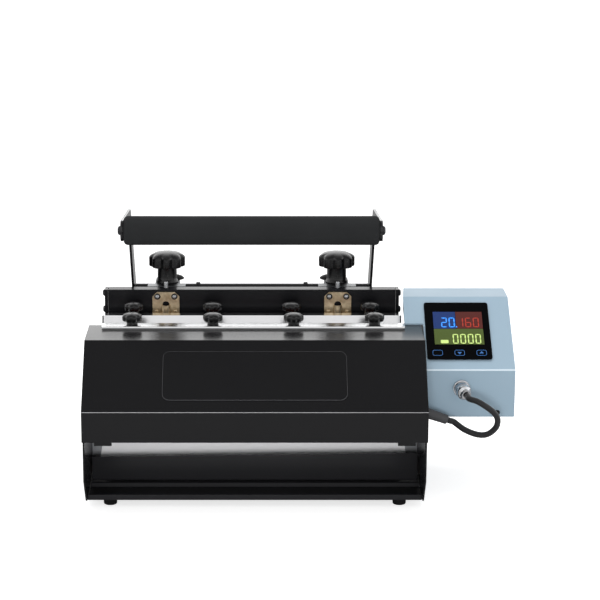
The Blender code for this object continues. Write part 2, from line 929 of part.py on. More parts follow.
def make_handle():
    grip = Vector((grip_y - pivot_y, grip_z - pivot_z))
    corner = Vector((corner_y - pivot_y, corner_z - pivot_z))
    half = handle_breadth / 2
    leg = corner.normalized()
    leg_side = Vector((-leg.y, leg.x)) * half
    reach = (grip - corner).normalized()
    reach_side = Vector((-reach.y, reach.x)) * half
    bisect = (leg_side + reach_side).normalized()
    miter = bisect * half / bisect.dot(leg_side.normalized())
    tip = grip + reach * handle_end
    angle = math.atan2(leg_side.y, leg_side.x)
    hub = [(handle_hub * math.cos(angle + half_turn * i / 12), handle_hub * math.sin(angle + half_turn * i / 12))
           for i in range(13)]
    inner, outer = corner + miter, corner - miter
    round_end = half * 0.8
    outline = rounded(
        [
            (*(inner), half),
            *[(u, v, 0.0) for u, v in hub],
            (*(outer), half),
            (*(tip - reach_side), round_end),
            (*(tip + reach_side), round_end),
        ],
        steps=6,
    )
    inner_half = handle_width / 2 - handle_wall
    for name, direction in sides:
        far = direction * handle_width / 2
        low, high = sorted((far, far - direction * handle_wall))
        arm = prism(f"{name}_handle_arm", outline, low, high, "x", black_paint, parent=handle_pivot)
        cut(arm, rod(f"{name}_bolt_hole", bolt_radius + gap, low - overrun, high + overrun, "x",
                     place=(0, grip.x, grip.y), parent=handle_pivot))
    reach_x = inner_half - gap
    tube = rod("handle_cross_tube", tube_radius, -reach_x, reach_x, "x", black_paint, parent=handle_pivot, steps=28)
    cut(tube, rod("tube_bore", tube_radius - tube_wall, -reach_x - overrun, reach_x + overrun, "x",
                  parent=handle_pivot, steps=28))
    sleeve = turned(
        "grip_sleeve",
        [
            (grip_radius - grip_corner, -reach_x),
            (grip_radius - grip_corner * 0.3, -reach_x + grip_corner * 0.3),
            (grip_radius, -reach_x + grip_corner),
            (grip_radius, reach_x - grip_corner),
            (grip_radius - grip_corner * 0.3, reach_x - grip_corner * 0.3),
            (grip_radius - grip_corner, reach_x),
        ],
        foam,
        (0, grip.x, grip.y),
        handle_pivot,
        "x",
        32,
    )
    cut(sleeve, rod("grip_hole", grip_bore, -reach_x - overrun, reach_x + overrun, "x",
                    place=(0, grip.x, grip.y), parent=handle_pivot, steps=24))
    outer_half = handle_width / 2 + gap
    turned(
        "grip_rod",
        [
            (bolt_head_radius * 0.6, -outer_half - bolt_head_height),
            (bolt_head_radius, -outer_half - bolt_head_height * 0.5),
            (bolt_head_radius, -outer_half),
            (bolt_radius, -outer_half),
            (bolt_radius, -reach_x),
            (grip_rod_radius, -reach_x),
            (grip_rod_radius, reach_x),
            (bolt_radius, reach_x),
            (bolt_radius, outer_half),
            (bolt_head_radius, outer_half),
            (bolt_head_radius, outer_half + bolt_head_height * 0.5),
            (bolt_head_radius * 0.6, outer_half + bolt_head_height),
        ],
        grey_steel,
        (0, grip.x, grip.y),
        handle_pivot,
        "x",
        20,
    )


# Toggle

def crank_spot():
    turn = math.radians(crank_degrees)
    return Vector((crank_radius * math.cos(turn), crank_radius * math.sin(turn)))


def make_cranks():
    spot = crank_spot()
    down = spot.normalized()
    across = Vector((-down.y, down.x))
    start = math.atan2(across.y, across.x)
    outline = arc((0, 0), crank_hub, start, start + half_turn, 14)
    outline += arc(tuple(spot), crank_eye, start + half_turn, start + 2 * half_turn, 10)
    for name, direction in sides:
        middle = direction * crank_spread
        low, high = sorted((middle, middle + direction * crank_wall))
        crank = prism(f"{name}_crank", outline, low, high, "x", black_paint, parent=handle_pivot)
        cut(crank, rod(f"{name}_crank_bore", tube_radius + gap, low - overrun, high + overrun, "x",
                       parent=handle_pivot, steps=28))
        inward = middle - direction * (link_wall + 2 * run_gap + bolt_head_height)
        first, last = sorted((inward, middle + direction * crank_wall / 2))
        join(crank, rod(f"{name}_crank_pin", crank_pin_radius, first, last, "x",
                        place=(0, spot.x, spot.y), parent=handle_pivot, steps=14))


def make_links():
    top = Vector((pivot_y, pivot_z)) + crank_spot() - Vector((link_y, link_z))
    up = top.normalized()
    across = Vector((-up.y, up.x))
    start = math.atan2(across.y, across.x)
    far = top + up * link_slot_length / 3
    outline = arc((0, 0), link_half_width, start, start + half_turn, 10)
    outline += arc(tuple(far), link_half_width, start + half_turn, start + 2 * half_turn, 10)
    slot = arc(tuple(top - up * link_slot_length / 3), link_slot_width / 2, start, start + half_turn, 8)
    slot += arc(tuple(top + up * link_slot_length / 3), link_slot_width / 2, start + half_turn, start + 2 * half_turn, 8)
    for name, direction in sides:
        outer = direction * (crank_spread - run_gap)
        low, high = sorted((outer, outer - direction * link_wall))
        link = prism(f"{name}_toggle_link", outline, low, high, "x", grey_steel, parent=link_pivot)
        cut(link, rod(f"{name}_link_bore", link_shaft_radius + run_gap, low - overrun, high + overrun, "x",
                      parent=link_pivot))
        cut(link, prism(f"{name}_link_slot", slot, low - overrun, high + overrun, "x", parent=link_pivot))


# Control box

def make_box():
    outline = rounded(
        [
            (box_front, box_bottom, box_edge),
            (box_rear, box_bottom, box_edge),
            (box_rear, box_top, box_edge),
            (box_slope_rear, box_top, box_edge),
            (box_front, nose_height, box_edge),
        ],
        steps=3,
    )
    box = prism("control_box", outline, box_left - box_step_reach, box_right, "x", blue_paint, parent=machine)
    rise = (box_top - nose_height) / (box_slope_rear - box_front)
    drop = box_wall * math.hypot(1, rise)
    hollow = [
        (box_front + box_wall, box_bottom + box_wall),
        (box_rear + overrun, box_bottom + box_wall),
        (box_rear + overrun, box_top - box_wall),
        (box_front + (box_top - box_wall + drop - nose_height) / rise, box_top - box_wall),
        (box_front + box_wall, nose_height + box_wall * rise - drop),
    ]
    cut(box, prism("box_hollow", hollow, box_left + box_wall, box_right - box_wall, "x", parent=machine))
    near = side_outer + gap
    spots = [
        (reach, height)
        for reach in (box_front + 4 * boss_radius, cover_depth + 4 * boss_radius)
        for height in (box_bottom + boss_radius * 1.5, box_bottom + boss_radius * 4.5)
    ]
    for index, (reach, height) in enumerate(spots):
        join(box, rod(f"box_boss_{index}", boss_radius, near, box_left + box_wall / 2, "x",
                      place=(0, reach, height), parent=machine, steps=16))
    hollow_box_step(box, rise)
    back = box_rear + gap
    plate = prism(
        "box_back_plate",
        box_outline(box_left + box_edge, box_bottom + box_edge, box_right - box_edge, box_top - box_edge, box_edge),
        back,
        back + back_plate_wall,
        "y",
        blue_paint,
        parent=machine,
    )
    return back + back_plate_wall


def hollow_box_step(box, rise):
    # The box's head reaches in over the side plate, as far as the beam's end, and is hollow like the rest.
    left = box_left - box_step_reach
    ahead = cover_depth + 2 * gap
    under = [
        (box_front - overrun, box_bottom - overrun),
        (box_rear + overrun, box_bottom - overrun),
        (box_rear + overrun, box_step_bottom),
        (ahead, box_step_bottom),
        (ahead, box_top + overrun),
        (box_front - overrun, box_top + overrun),
    ]
    cut(box, prism("box_step_under", under, left - overrun, box_left, "x", parent=machine))
    wall = box_wall * 1.2
    floor, roof = box_step_bottom + wall, box_top - wall
    drop = wall * math.hypot(1, rise)
    hollow = [
        (max(ahead + wall, box_front + (floor + drop - nose_height) / rise), floor),
        (box_rear - wall, floor),
        (box_rear - wall, roof),
        (box_front + (roof + drop - nose_height) / rise, roof),
    ]
    cut(box, prism("box_step_hollow", hollow, left + wall, box_left + box_wall + overrun, "x", parent=machine))


def make_back_fittings(back):
    face = back + gap
    low = box_bottom + (box_top - box_bottom) * fitting_place_share
    inlet_x = box_left + box_width * fitting_place_share
    switch_x = box_right - box_width * fitting_place_share * 0.8
    half_w, half_h = inlet_width / 2, inlet_height / 2
    inlet = prism(
        "power_inlet",
        box_outline(inlet_x - half_w, low - half_h, inlet_x + half_w, low + half_h, inlet_wall / 2),
        face,
        face + inlet_depth,
        "y",
        black_plastic,
        parent=machine,
    )
    wall = inlet_wall
    cut(inlet, prism("inlet_pocket",
                     box_outline(inlet_x - half_w + wall, low - half_h + wall, inlet_x + half_w - wall,
                                 low + half_h - wall, inlet_wall / 2),
                     face + inlet_depth / 4, face + inlet_depth + overrun, "y", parent=machine))
    pin_gap = inlet_width / 5
    for index in range(3):
        x = inlet_x + (index - 1) * pin_gap
        height = low + (pin_gap / 2 if index == 1 else -pin_gap / 4)
        outline = box_outline(x - wall / 4, height - wall / 2, x + wall / 4, height + wall / 2)
        join(inlet, prism(f"inlet_pin_{index}", outline, face + inlet_depth / 8, face + inlet_depth - gap, "y",
                          parent=machine))
    half_w, half_h = switch_width / 2, switch_height / 2
    frame = prism(
        "switch_frame",
        box_outline(switch_x - half_w - switch_frame, low - half_h - switch_frame, switch_x + half_w + switch_frame,
                    low + half_h + switch_frame, switch_frame / 2),
        face,
        face + switch_depth,
        "y",
        black_plastic,
        parent=machine,
    )
    cut(frame, prism("switch_well",
                     box_outline(switch_x - half_w - run_gap, low - half_h - run_gap, switch_x + half_w + run_gap,
                                 low + half_h + run_gap),
                     face - overrun, face + switch_depth + overrun, "y", parent=machine))
    lift = switch_depth * 0.75
    rocker = [
        (-switch_depth / 3, -half_h + switch_frame / 2),
        (switch_depth * 0.55, -half_h + switch_frame / 4),
        (switch_depth * 0.30, 0.0),
        (switch_depth * 0.15, half_h - switch_frame / 4),
        (-switch_depth / 3, half_h - switch_frame / 2),
        (-switch_depth / 2, 0.0),
    ]
    prism("rocker_switch", rocker, -half_w, half_w, "x", black_plastic, (switch_x, face + lift, low), machine)


def make_controller():
    run = Vector((box_slope_rear - box_front, box_top - nose_height))
    lean = math.atan2(run.y, run.x)
    start = Vector((box_front, nose_height)) + run * bezel_start_share
    holder = empty("controller", (box_left + bezel_inset, start.x, start.y), machine)
    holder.rotation_euler = (lean, 0, 0)
    base = gap
    bezel = prism("controller_bezel", box_outline(0, 0, bezel_width, bezel_height, bezel_corner), base,
                  base + bezel_wall, "z", glass, parent=holder)
    left, low = window_left, window_low
    floor = base + bezel_wall - window_wall
    cut(bezel, prism("window_recess",
                     box_outline(left - gap, low - gap, left + window_width + gap, low + window_height + gap),
                     floor - gap, base + bezel_wall + overrun, "z", parent=holder))
    prism("display_window", box_outline(left, low, left + window_width, low + window_height), floor,
          base + bezel_wall, "z", glass, parent=holder)


# Connector and cable

def plug_direction():
    return Vector((0.30, -0.93, -0.21)).normalized()


def make_connector():
    x = box_left + socket_x
    face = box_front - gap
    turned(
        "cable_socket",
        [
            (socket_radius * 0.8, -socket_length),
            (socket_radius * 0.86, -socket_length * 0.5),
            (socket_radius, -socket_length * 0.45),
            (socket_radius, 0),
        ],
        chrome,
        (x, face, socket_z),
        machine,
        "y",
        24,
    )
    turn = plug_direction().to_track_quat("Z", "Y").to_euler()
    plug = turned(
        "cable_plug",
        [
            (plug_radius * 0.7, 0),
            (plug_radius, plug_length * 0.1),
            (plug_radius, plug_length * 0.55),
            (plug_neck_radius, plug_length * 0.7),
            (plug_neck_radius, plug_length),
        ],
        chrome,
        steps=24,
    )
    plug.parent = machine
    plug.location = Vector((x, face - socket_length - plug_radius * 0.36, socket_z))
    plug.rotation_euler = turn
    return plug.location + plug_direction() * (plug_length + 2 * gap)


def sleeve_direction():
    drop = math.radians(sleeve_drop_degrees)
    return Vector((math.cos(drop), 0, -math.sin(drop)))


def sleeve_start():
    """The middle of the sleeve's wide end, which leans and so stands off the side plate."""
    lean = sleeve_radius * math.sin(math.radians(sleeve_drop_degrees))
    return Vector((side_outer + gap + lean, sleeve_y, sleeve_z))


def cable_route(start):
    """The cable's middle line in the machine's frame, from the plug to the sleeve."""
    out = plug_direction()
    leave = sleeve_direction()
    mouth = sleeve_start() + leave * (sleeve_length + 2 * gap)
    points = [
        start,
        start + out * cable_radius,
        start + out * cable_radius * 2.2,
        *(Vector(spot) for spot in cable_spots),
        mouth + leave * cable_radius * 2.2,
        mouth + leave * cable_radius,
        mouth,
    ]
    dense = [Vector(point) for point in smooth([tuple(point) for point in points], 12)]
    lengths = [0.0]
    for before, after in zip(dense, dense[1:]):
        lengths.append(lengths[-1] + (after - before).length)
    route = []
    for index in range(cable_points):
        target = lengths[-1] * index / (cable_points - 1)
        spot = max(i for i, done in enumerate(lengths) if done <= target + gap / 1000)
        spot = min(spot, len(dense) - 2)
        share = (target - lengths[spot]) / (lengths[spot + 1] - lengths[spot])
        route.append(dense[spot].lerp(dense[spot + 1], share))
    print(f"cable length {lengths[-1]:.4f}")
    return route


def make_cable(start):
    route = cable_route(start)
    curve = bpy.data.curves.new("heater_cable", "CURVE")
    curve.dimensions = "3D"
    line = curve.splines.new("POLY")
    line.points.add(len(route) - 1)
    for point, spot in zip(line.points, route):
        point.co = (*spot, 1)
    curve.bevel_depth = cable_radius
    curve.bevel_resolution = 2
    curve.use_fill_caps = True
    curve.materials.append(rubber)
    cable = bpy.data.objects.new("heater_cable", curve)
    bpy.context.collection.objects.link(cable)
    cable.parent = machine
    make_sleeve()


def make_sleeve():
    """A soft sleeve that leans down, joined to a straight root in the side plate's hole."""
    sleeve = turned(
        "cable_sleeve",
        [
            (sleeve_root_radius, 0),
            (sleeve_radius, gap),
            (sleeve_radius, sleeve_length * 0.5),
            (cable_radius * 1.35, sleeve_length),
        ],
        rubber,
        steps=20,
    )
    sleeve.parent = machine
    sleeve.location = sleeve_start()
    sleeve.rotation_euler = sleeve_direction().to_track_quat("Z", "Y").to_euler()
    join(sleeve, rod("sleeve_root", sleeve_root_radius, side_inner, sleeve_start().x + gap * 4, "x",
                     place=(0, sleeve_y, sleeve_z), parent=machine))


make_tray()
make_feet()
make_side_plates()
make_cover()
make_name_panel()
make_rear_panel()
make_shafts()
make_trough()
make_heat_shield()
front_bar_top = make_front_bar()
rear_bar_top = make_rear_bar()
make_clamp_knobs(front_bar_top, rear_bar_top)
make_beam()
make_swing_arms()
make_guides()
carrier_top, carrier_stud_y = make_carriers()
make_pressure_knobs(carrier_top, carrier_stud_y)
make_handle()
make_cranks()
make_links()
box_back = make_box()
make_back_fittings(box_back)
make_controller()
plug_end = make_connector()
make_cable(plug_end)
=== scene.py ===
# %% [markdown]
# # A tumbler heat press, dressed for its photograph
#
# The press wraps a heated silicone mat round a tumbler. Its solids were made in CAD and are loaded here as a
# fixed frame: every object is in metres, at its real place. This lesson gives those solids their soft edges,
# fasteners, graphics and finishes, piece by piece, and sets each piece to ride on its moving body.

# %% Load the frame
import bpy
import json
import math
from mathutils import Matrix, Vector


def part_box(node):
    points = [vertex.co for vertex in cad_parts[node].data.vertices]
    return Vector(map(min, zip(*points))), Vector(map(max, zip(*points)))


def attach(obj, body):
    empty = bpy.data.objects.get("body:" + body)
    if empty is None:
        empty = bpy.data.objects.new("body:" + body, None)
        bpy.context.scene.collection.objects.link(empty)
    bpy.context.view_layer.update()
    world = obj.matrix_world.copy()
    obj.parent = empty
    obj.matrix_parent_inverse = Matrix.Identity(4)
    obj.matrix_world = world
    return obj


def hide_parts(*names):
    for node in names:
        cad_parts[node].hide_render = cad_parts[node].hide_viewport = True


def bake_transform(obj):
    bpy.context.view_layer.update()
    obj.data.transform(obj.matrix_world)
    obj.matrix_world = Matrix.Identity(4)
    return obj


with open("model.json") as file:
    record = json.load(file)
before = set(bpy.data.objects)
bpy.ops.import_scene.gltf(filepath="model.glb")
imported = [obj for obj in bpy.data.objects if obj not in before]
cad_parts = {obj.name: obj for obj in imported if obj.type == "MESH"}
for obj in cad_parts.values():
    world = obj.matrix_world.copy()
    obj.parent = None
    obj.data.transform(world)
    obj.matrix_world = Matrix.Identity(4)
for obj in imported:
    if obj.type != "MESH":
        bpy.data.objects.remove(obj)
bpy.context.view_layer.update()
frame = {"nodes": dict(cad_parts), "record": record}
nodes = frame["nodes"]
scene = bpy.context.scene
scene.view_settings.view_transform = "Standard"

# %% [markdown]
# ## The machine's own frame
#
# The press was measured in a frame of its own: X from near its cover's middle, Y back from its front and Z
# up from the floor. It isn't turned against the scene, only moved, so one helper turns such a point, written
# in millimetres, into a place in the scene. Many pieces come as a left and a right one, so both sides are
# named here too.

# %% Points in the machine's own frame
millimetre = 0.001
machine = Vector((-0.053, -0.150, 0))
both_sides = (("left", -1), ("right", 1))


def at(x, y, z):
    """A point given in the machine's own frame, in millimetres."""
    return machine + Vector((x, y, z)) * millimetre


def outer_face(node, direction):
    """The X at which this solid ends, on its left (-1) or right (1) side."""
    low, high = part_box(node)
    return low[0] if direction < 0 else high[0]


def middle_of(node):
    """The middle of a solid's box, and its two corners."""
    low, high = (Vector(corner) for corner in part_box(node))
    return (low + high) / 2, low, high


print("the machine's frame starts at", tuple(machine))

# %% [markdown]
# ## The camera
#
# Edges that are parallel on the machine meet at two points in the photograph. They give a long lens, 2.3 m
# away, that looks 13.7 degrees down, and a picture cropped to the left of the lens's axis. Blender makes that
# crop with a small sideways lens shift.

# %% Set the camera
degrees_down = 13.7
camera_data = bpy.data.cameras.new("photo_camera")
camera_data.lens = 120
camera_data.sensor_width = 36
camera_data.shift_x = 0.0753
camera = bpy.data.objects.new("photo_camera", camera_data)
scene.collection.objects.link(camera)
camera.location = machine + Vector((0, -2.146, 0.777))
camera.rotation_euler = (math.radians(90 - degrees_down), 0, 0)
scene.camera = camera
print("camera at", tuple(camera.location))

# %% [markdown]
# ## Floor, backdrop and light
#
# A product is shot on a white floor under big soft lamps, in a room that is white all round and dark only
# overhead. Light Path makes floor and room white to the camera. Glossy surfaces mirror a bright room over a
# greyer floor, and the light itself meets both plain and pale, so that white does not flood the object. The
# floor keeps the object's shadow.

# %% A first helper: colours and nodes
def linear(code):
    """A colour as written in sRGB hex, turned to the linear values that Blender's nodes expect."""
    parts = [int(code[i:i + 2], 16) / 255 for i in (1, 3, 5)]
    return tuple(c / 12.92 if c <= 0.04045 else ((c + 0.055) / 1.055) ** 2.4 for c in parts) + (1,)


def new_material(name):
    """An empty material and its output node."""
    made = bpy.data.materials.new(name)
    made.use_nodes = True
    made.node_tree.nodes.clear()
    return made, made.node_tree.nodes.new("ShaderNodeOutputMaterial")


def add(made, kind, settings=(), **links):
    """Add a node of this kind. Settings are its properties or its sockets' values, and links go to sockets."""
    node = made.node_tree.nodes.new("ShaderNode" + kind)
    for key, value in dict(settings).items():
        if isinstance(key, str) and hasattr(node, key):
            setattr(node, key, value)
        else:
            node.inputs[key].default_value = value
    for key, source in links.items():
        socket = node.inputs[int(key[1:])] if key[1:].isdigit() else node.inputs[key.replace("_", " ")]
        made.node_tree.links.new(socket, source)
    return node


# %% The white floor
def seen_directly(made):
    """The Light Path node, and 1 for rays from the camera, straight or through something clear."""
    path = add(made, "LightPath")
    shown = add(made, "Math", {"operation": "MAXIMUM"}, _0=path.outputs["Is Camera Ray"],
                _1=path.outputs["Is Transmission Ray"])
    return path, shown


def floor_material():
    """White paper: it glows for the camera, and is greyer in mirrors than to plain light."""
    made, output = new_material("white_paper_floor")
    path, shown = seen_directly(made)
    strength = add(made, "MapRange", {"To Min": 0.0, "To Max": 0.70}, Value=shown.outputs[0])
    tone = add(made, "MapRange", {"To Min": 0.78, "To Max": 0.42}, Value=path.outputs["Is Glossy Ray"])
    paper = add(made, "BsdfDiffuse", Color=tone.outputs[0])
    glow = add(made, "Emission", {"Color": (1, 1, 1, 1)}, Strength=strength.outputs[0])
    lit = add(made, "AddShader", _0=paper.outputs[0], _1=glow.outputs[0])
    made.node_tree.links.new(output.inputs["Surface"], lit.outputs[0])
    return made


def clear_selection():
    """Operators act on all that is selected, so nothing is, before a new piece is started."""
    if bpy.context.object and bpy.context.object.mode != "OBJECT":
        bpy.ops.object.mode_set(mode="OBJECT")
    bpy.ops.object.select_all(action="DESELECT")


clear_selection()
bpy.ops.mesh.primitive_plane_add(size=60, location=(0, 0, 0))
floor = bpy.context.object
floor.name = "studio_floor"
bpy.ops.object.transform_apply(location=True, rotation=True, scale=True)
floor.data.materials.append(floor_material())
print("floor laid")

# %% The room: in mirrors brightest behind the press and dark overhead, and plain to the light
world = bpy.data.worlds.new("studio_air")
scene.world = world
world.use_nodes = True
world.node_tree.nodes.clear()
world_output = world.node_tree.nodes.new("ShaderNodeOutputWorld")
path, shown = seen_directly(world)
direction = add(world, "TexCoord")
toward = add(world, "SeparateXYZ", _0=direction.outputs["Generated"])
behind = add(world, "MapRange", {"From Min": -0.9, "From Max": 0.9, "To Min": 0.85, "To Max": 1.8},
             Value=toward.outputs["Y"])
overhead = add(world, "MapRange", {"From Min": 0.35, "From Max": 0.85, "To Min": 1.0, "To Max": 0.25},
               Value=toward.outputs["Z"])
mirrored = add(world, "Math", {"operation": "MULTIPLY"}, _0=behind.outputs[0], _1=overhead.outputs[0])
plain = add(world, "Background", {"Color": (1, 1, 1, 1), "Strength": 0.6})
room = add(world, "Background", {"Color": (1, 1, 1, 1)}, Strength=mirrored.outputs[0])
white = add(world, "Background", {"Color": (1, 1, 1, 1), "Strength": 1.0})
mirror_mix = add(world, "MixShader", _0=path.outputs["Is Glossy Ray"], _1=plain.outputs[0],
                 _2=room.outputs[0])
mixed = add(world, "MixShader", _0=shown.outputs[0], _1=mirror_mix.outputs[0], _2=white.outputs[0])
world.node_tree.links.new(world_output.inputs["Surface"], mixed.outputs[0])

# %% Lamps
def lamp(name, power, size, place, aim, height=None, mirrored=False):
    """A soft lamp of this many watts, aimed at a point. Only a mirrored one shows in glossy surfaces."""
    data = bpy.data.lights.new(name, "AREA")
    data.energy, data.shape, data.size, data.size_y = power, "RECTANGLE", size, height or size
    made = bpy.data.objects.new(name, data)
    scene.collection.objects.link(made)
    made.location = place
    made.rotation_euler = (Vector(aim) - Vector(place)).to_track_quat("-Z", "Y").to_euler()
    made.visible_glossy = mirrored


lamp("left_softbox", 2.5, 0.9, (-1.1, -1.3, 1.1), (0, 0, 0.15))
lamp("right_softbox", 1, 0.9, (1.2, -1.2, 1.0), (0, 0, 0.15))
lamp("top_softbox", 18, 1.2, (0, 0.2, 1.7), (0, 0, 0.1))
lamp("low_front_fill", 27, 0.7, (0, -2.3, 0.22), (0, 0, 0.05))
lamp("front_strip", 1, 2.6, (0, -2.9, 1.42), (0, -0.15, 0.13), height=0.45, mirrored=True)
print(len(bpy.data.lights), "lamps,", sum(light.energy for light in bpy.data.lights), "W in all")

# %% [markdown]
# ## The heater cable
#
# The cable that feeds the mat is a limp silicone lead, 7 mm across. It leaves the round plug at the box,
# drops in a loop and goes back into a soft leaning sleeve in the machine's side, so both its ends show. Here
# its line is drawn through the same points as its solid, with a short straight run at each end.

# %% Cable route
plug_end = Vector((0.239, 0.06764, 0.1303))
plug_out = Vector((0.30, -0.93, -0.21)).normalized()
sleeve_lean = math.radians(19)
sleeve_out = Vector((math.cos(sleeve_lean), 0, -math.sin(sleeve_lean)))
sleeve_base = Vector((0.1943 + 0.006 * math.sin(sleeve_lean), 0.060, 0.106))
sleeve_mouth = sleeve_base + sleeve_out * 0.0276
cable_start = plug_end + plug_out * 0.0136
straight = (0, 0.0035, 0.0077)
route = [cable_start + plug_out * x for x in straight]
route += [Vector(p) for p in (
    (0.2535, 0.0405, 0.1250), (0.2625, 0.0365, 0.1205), (0.2715, 0.0360, 0.1137), (0.2768, 0.0375, 0.1050),
    (0.2757, 0.0410, 0.0940), (0.2672, 0.0455, 0.0846), (0.2560, 0.0495, 0.0826), (0.2411, 0.0545, 0.0871))]
route += [sleeve_mouth + sleeve_out * x for x in reversed(straight)]


def catmull_rom(points, steps):
    """A smooth line through all of these points, with this many pieces between each two."""
    line = []
    padded = [2 * points[0] - points[1], *points, 2 * points[-1] - points[-2]]
    for a, b, c, d in zip(padded, padded[1:], padded[2:], padded[3:]):
        for step in range(steps):
            t = step / steps
            line.append(0.5 * (2 * b + (c - a) * t + (2 * a - 5 * b + 4 * c - d) * t * t
                               + (3 * b - a - 3 * c + d) * t ** 3))
    return line + [points[-1]]


cable_line = [machine + p for p in catmull_rom(route, 3)]

# %% [markdown]
# ## Finishes
#
# Each finish starts from the real material and how its surface was made. Patterns read Object coordinates,
# which are metres here, so a noise scale of 1000 gives grains of one millimetre. Grain that is finer than a
# pixel is drawn a little coarser than it is, and says so.

# %% A finish with grain
def grained(name, colour, shade, roughness, grain, bump, stretch=(1, 1, 1), spread=0.06, cloud=55,
            **shader):
    """A principled finish: a colour and its shade in clouds, and a fine bump. Cloud and grain are in mm."""
    made, output = new_material(name)
    place = add(made, "TexCoord")
    scaled = add(made, "Mapping", {"Scale": stretch}, Vector=place.outputs["Object"])
    fine = add(made, "TexNoise", {"Scale": 1000 / grain, "Detail": 2.0}, Vector=scaled.outputs[0])
    patches = add(made, "TexNoise", {"Scale": 1000 / cloud, "Detail": 3.0}, Vector=scaled.outputs[0])
    tint = add(made, "MixRGB", {"Color1": linear(colour), "Color2": linear(shade)}, Fac=patches.outputs[0])
    rough = add(made, "MapRange", {"To Min": roughness - spread, "To Max": roughness + spread},
                Value=patches.outputs[0])
    relief = add(made, "Bump", {"Strength": bump, "Distance": grain * millimetre}, Height=fine.outputs[0])
    surface = add(made, "BsdfPrincipled", shader, Base_Color=tint.outputs[0], Roughness=rough.outputs[0],
                  Normal=relief.outputs[0])
    made.node_tree.links.new(output.inputs["Surface"], surface.outputs[0])
    return made


# %% [markdown]
# Powder coat is baked on as dust, which leaves a very low orange-peel relief about a millimetre across and a
# satin gloss: dark when seen square on, and a pale grey sheen at a glancing angle. How much of the room it
# mirrors is set by the specular level, and differs from part to part.

# %% Paints
# The frame's coat: almost black, with a weak and even sheen.
black_paint = grained("satin_black_powder_coat", "#19191B", "#151517", 0.24, 1.6, 0.012, spread=0.01,
                      **{"Specular IOR Level": 0.16})
# The cover's coat is glossier, so its slope turns a soft grey under the white room.
cover_paint = grained("satin_black_cover_coat", "#0F0F11", "#0C0C0E", 0.22, 1.6, 0.012, spread=0.01,
                      **{"Specular IOR Level": 0.39})
# The lever's arms are smoother still, and catch a pale line along their edges.
arm_paint = grained("smooth_black_arm_coat", "#19191B", "#151517", 0.10, 1.6, 0.006, spread=0.01,
                    **{"Specular IOR Level": 0.5})
# The tray's coat is painted a little paler than it is, as painted light, so that its floor is not lost in the
# shade under the cover.
tray_coat_painted_paler = grained("satin_black_tray_coat_painted_paler", "#252527", "#212123", 0.30, 1.6, 0.012, spread=0.02,
                     **{"Specular IOR Level": 0.18})
# A painted highlight: the rounded fold gets a pale coat, so that it shows as a pale line along the fold.
fold_highlight_black = grained("painted_highlight_on_black_fold", "#B0B0B2", "#A0A0A2", 0.40, 1.2, 0.02)
fold_highlight_blue = grained("painted_highlight_on_blue_fold", "#CFDBE3", "#BECCD6", 0.35, 1.2, 0.02)
# The rim of the bare panel gets a much weaker painted highlight: a fine grey outline.
panel_rim = grained("painted_highlight_on_the_panel_rim", "#4E4E51", "#454547", 0.40, 1.2, 0.02)
# The control box has a pale grey-blue coat, soft and low in gloss.
box_paint = grained("pale_blue_powder_coat", "#90A5B4", "#8BA0AF", 0.40, 1.4, 0.03,
                    **{"Specular IOR Level": 0.35})

# %% [markdown]
# Polished stainless strip mirrors the white room and has faint drawn lines along its length, so its pattern
# is stretched along X. Zinc plate is greyer and softer. Yellow passivated zinc is the pale gold of cheap
# hardware, cloudy from the dip. Chrome is the brightest and smoothest.

# %% Metals
# Clamp bars and trough strip: nearly white where they mirror the room.
polished_steel = grained("polished_stainless_strip", "#E9E9EA", "#DCDCDE", 0.16, 0.6, 0.03, (0.03, 1, 1),
                         Metallic=1.0)
# The strip behind the tray is dull and only a little metallic, because what it would mirror is the dark tray.
# Its near white colour is a painted reflection of the bright room.
shield_painted_pale = grained("stainless_strip_painted_pale", "#FAFAFB", "#F0F0F2", 0.40, 0.6, 0.03, (0.03, 1, 1),
                       Metallic=0.20)
# The wings at the strip's ends are a flat mid grey: a painted reflection of the dark side plates.
wing_painted_grey = grained("strip_end_painted_grey", "#9A9CA0", "#8A8C90", 0.45, 0.8, 0.04, Metallic=0.2)
# Carriers, links and shafts: a soft dark grey shine.
grey_steel = grained("zinc_plated_steel", "#76787B", "#66686A", 0.36, 0.8, 0.04, Metallic=1.0)
# Screws and studs catch the light as small bright points.
bright_zinc = grained("bright_zinc_screw", "#D4D6D8", "#BDBFC2", 0.20, 0.5, 0.02, Metallic=1.0)
# The guide brackets: gold, clouded with brown in patches of 6 mm.
gold_zinc = grained("yellow_passivated_zinc", "#FFEDCC", "#93774B", 0.34, 0.9, 0.04, cloud=6, Metallic=0.9)
# The connector is a clear mirror.
chrome = grained("bright_chrome_plate", "#E2E3E6", "#D6D8DB", 0.07, 0.6, 0.01, spread=0.02, Metallic=1.0)
# Blackened bolts and washers, with a dull grey shine.
black_oxide = grained("black_oxide_screw", "#3A3A3D", "#2A2A2C", 0.34, 0.5, 0.03, Metallic=0.8)

# %% [markdown]
# The knobs are moulded nylon with a gloss top, the grip is closed-cell foam with pores of half a millimetre,
# the feet are matte rubber, and the mat is smooth orange-red silicone.

# %% Plastics, rubber and foam
# Knobs: black, with soft highlights on domes and lobes.
knob_plastic = grained("moulded_black_nylon", "#101011", "#0C0C0D", 0.26, 0.7, 0.03, spread=0.04)
# Switch, inlet and end pieces: textured, so no clear highlight.
black_plastic = grained("fine_textured_black_moulding", "#1A1A1C", "#141416", 0.42, 0.6, 0.10)
# The controller's front: deep black and smooth, with hardly a mirror image.
gloss_black = grained("gloss_black_front_sheet", "#030405", "#030304", 0.14, 2.0, 0.004, spread=0.02,
                      **{"Specular IOR Level": 0.08})
# Foam: matte and pitted, its pores drawn at nearly a millimetre so that they show.
grip_foam = grained("closed_cell_foam", "#262728", "#202122", 0.9, 0.9, 0.35, spread=0.04,
                    **{"Specular IOR Level": 0.2})
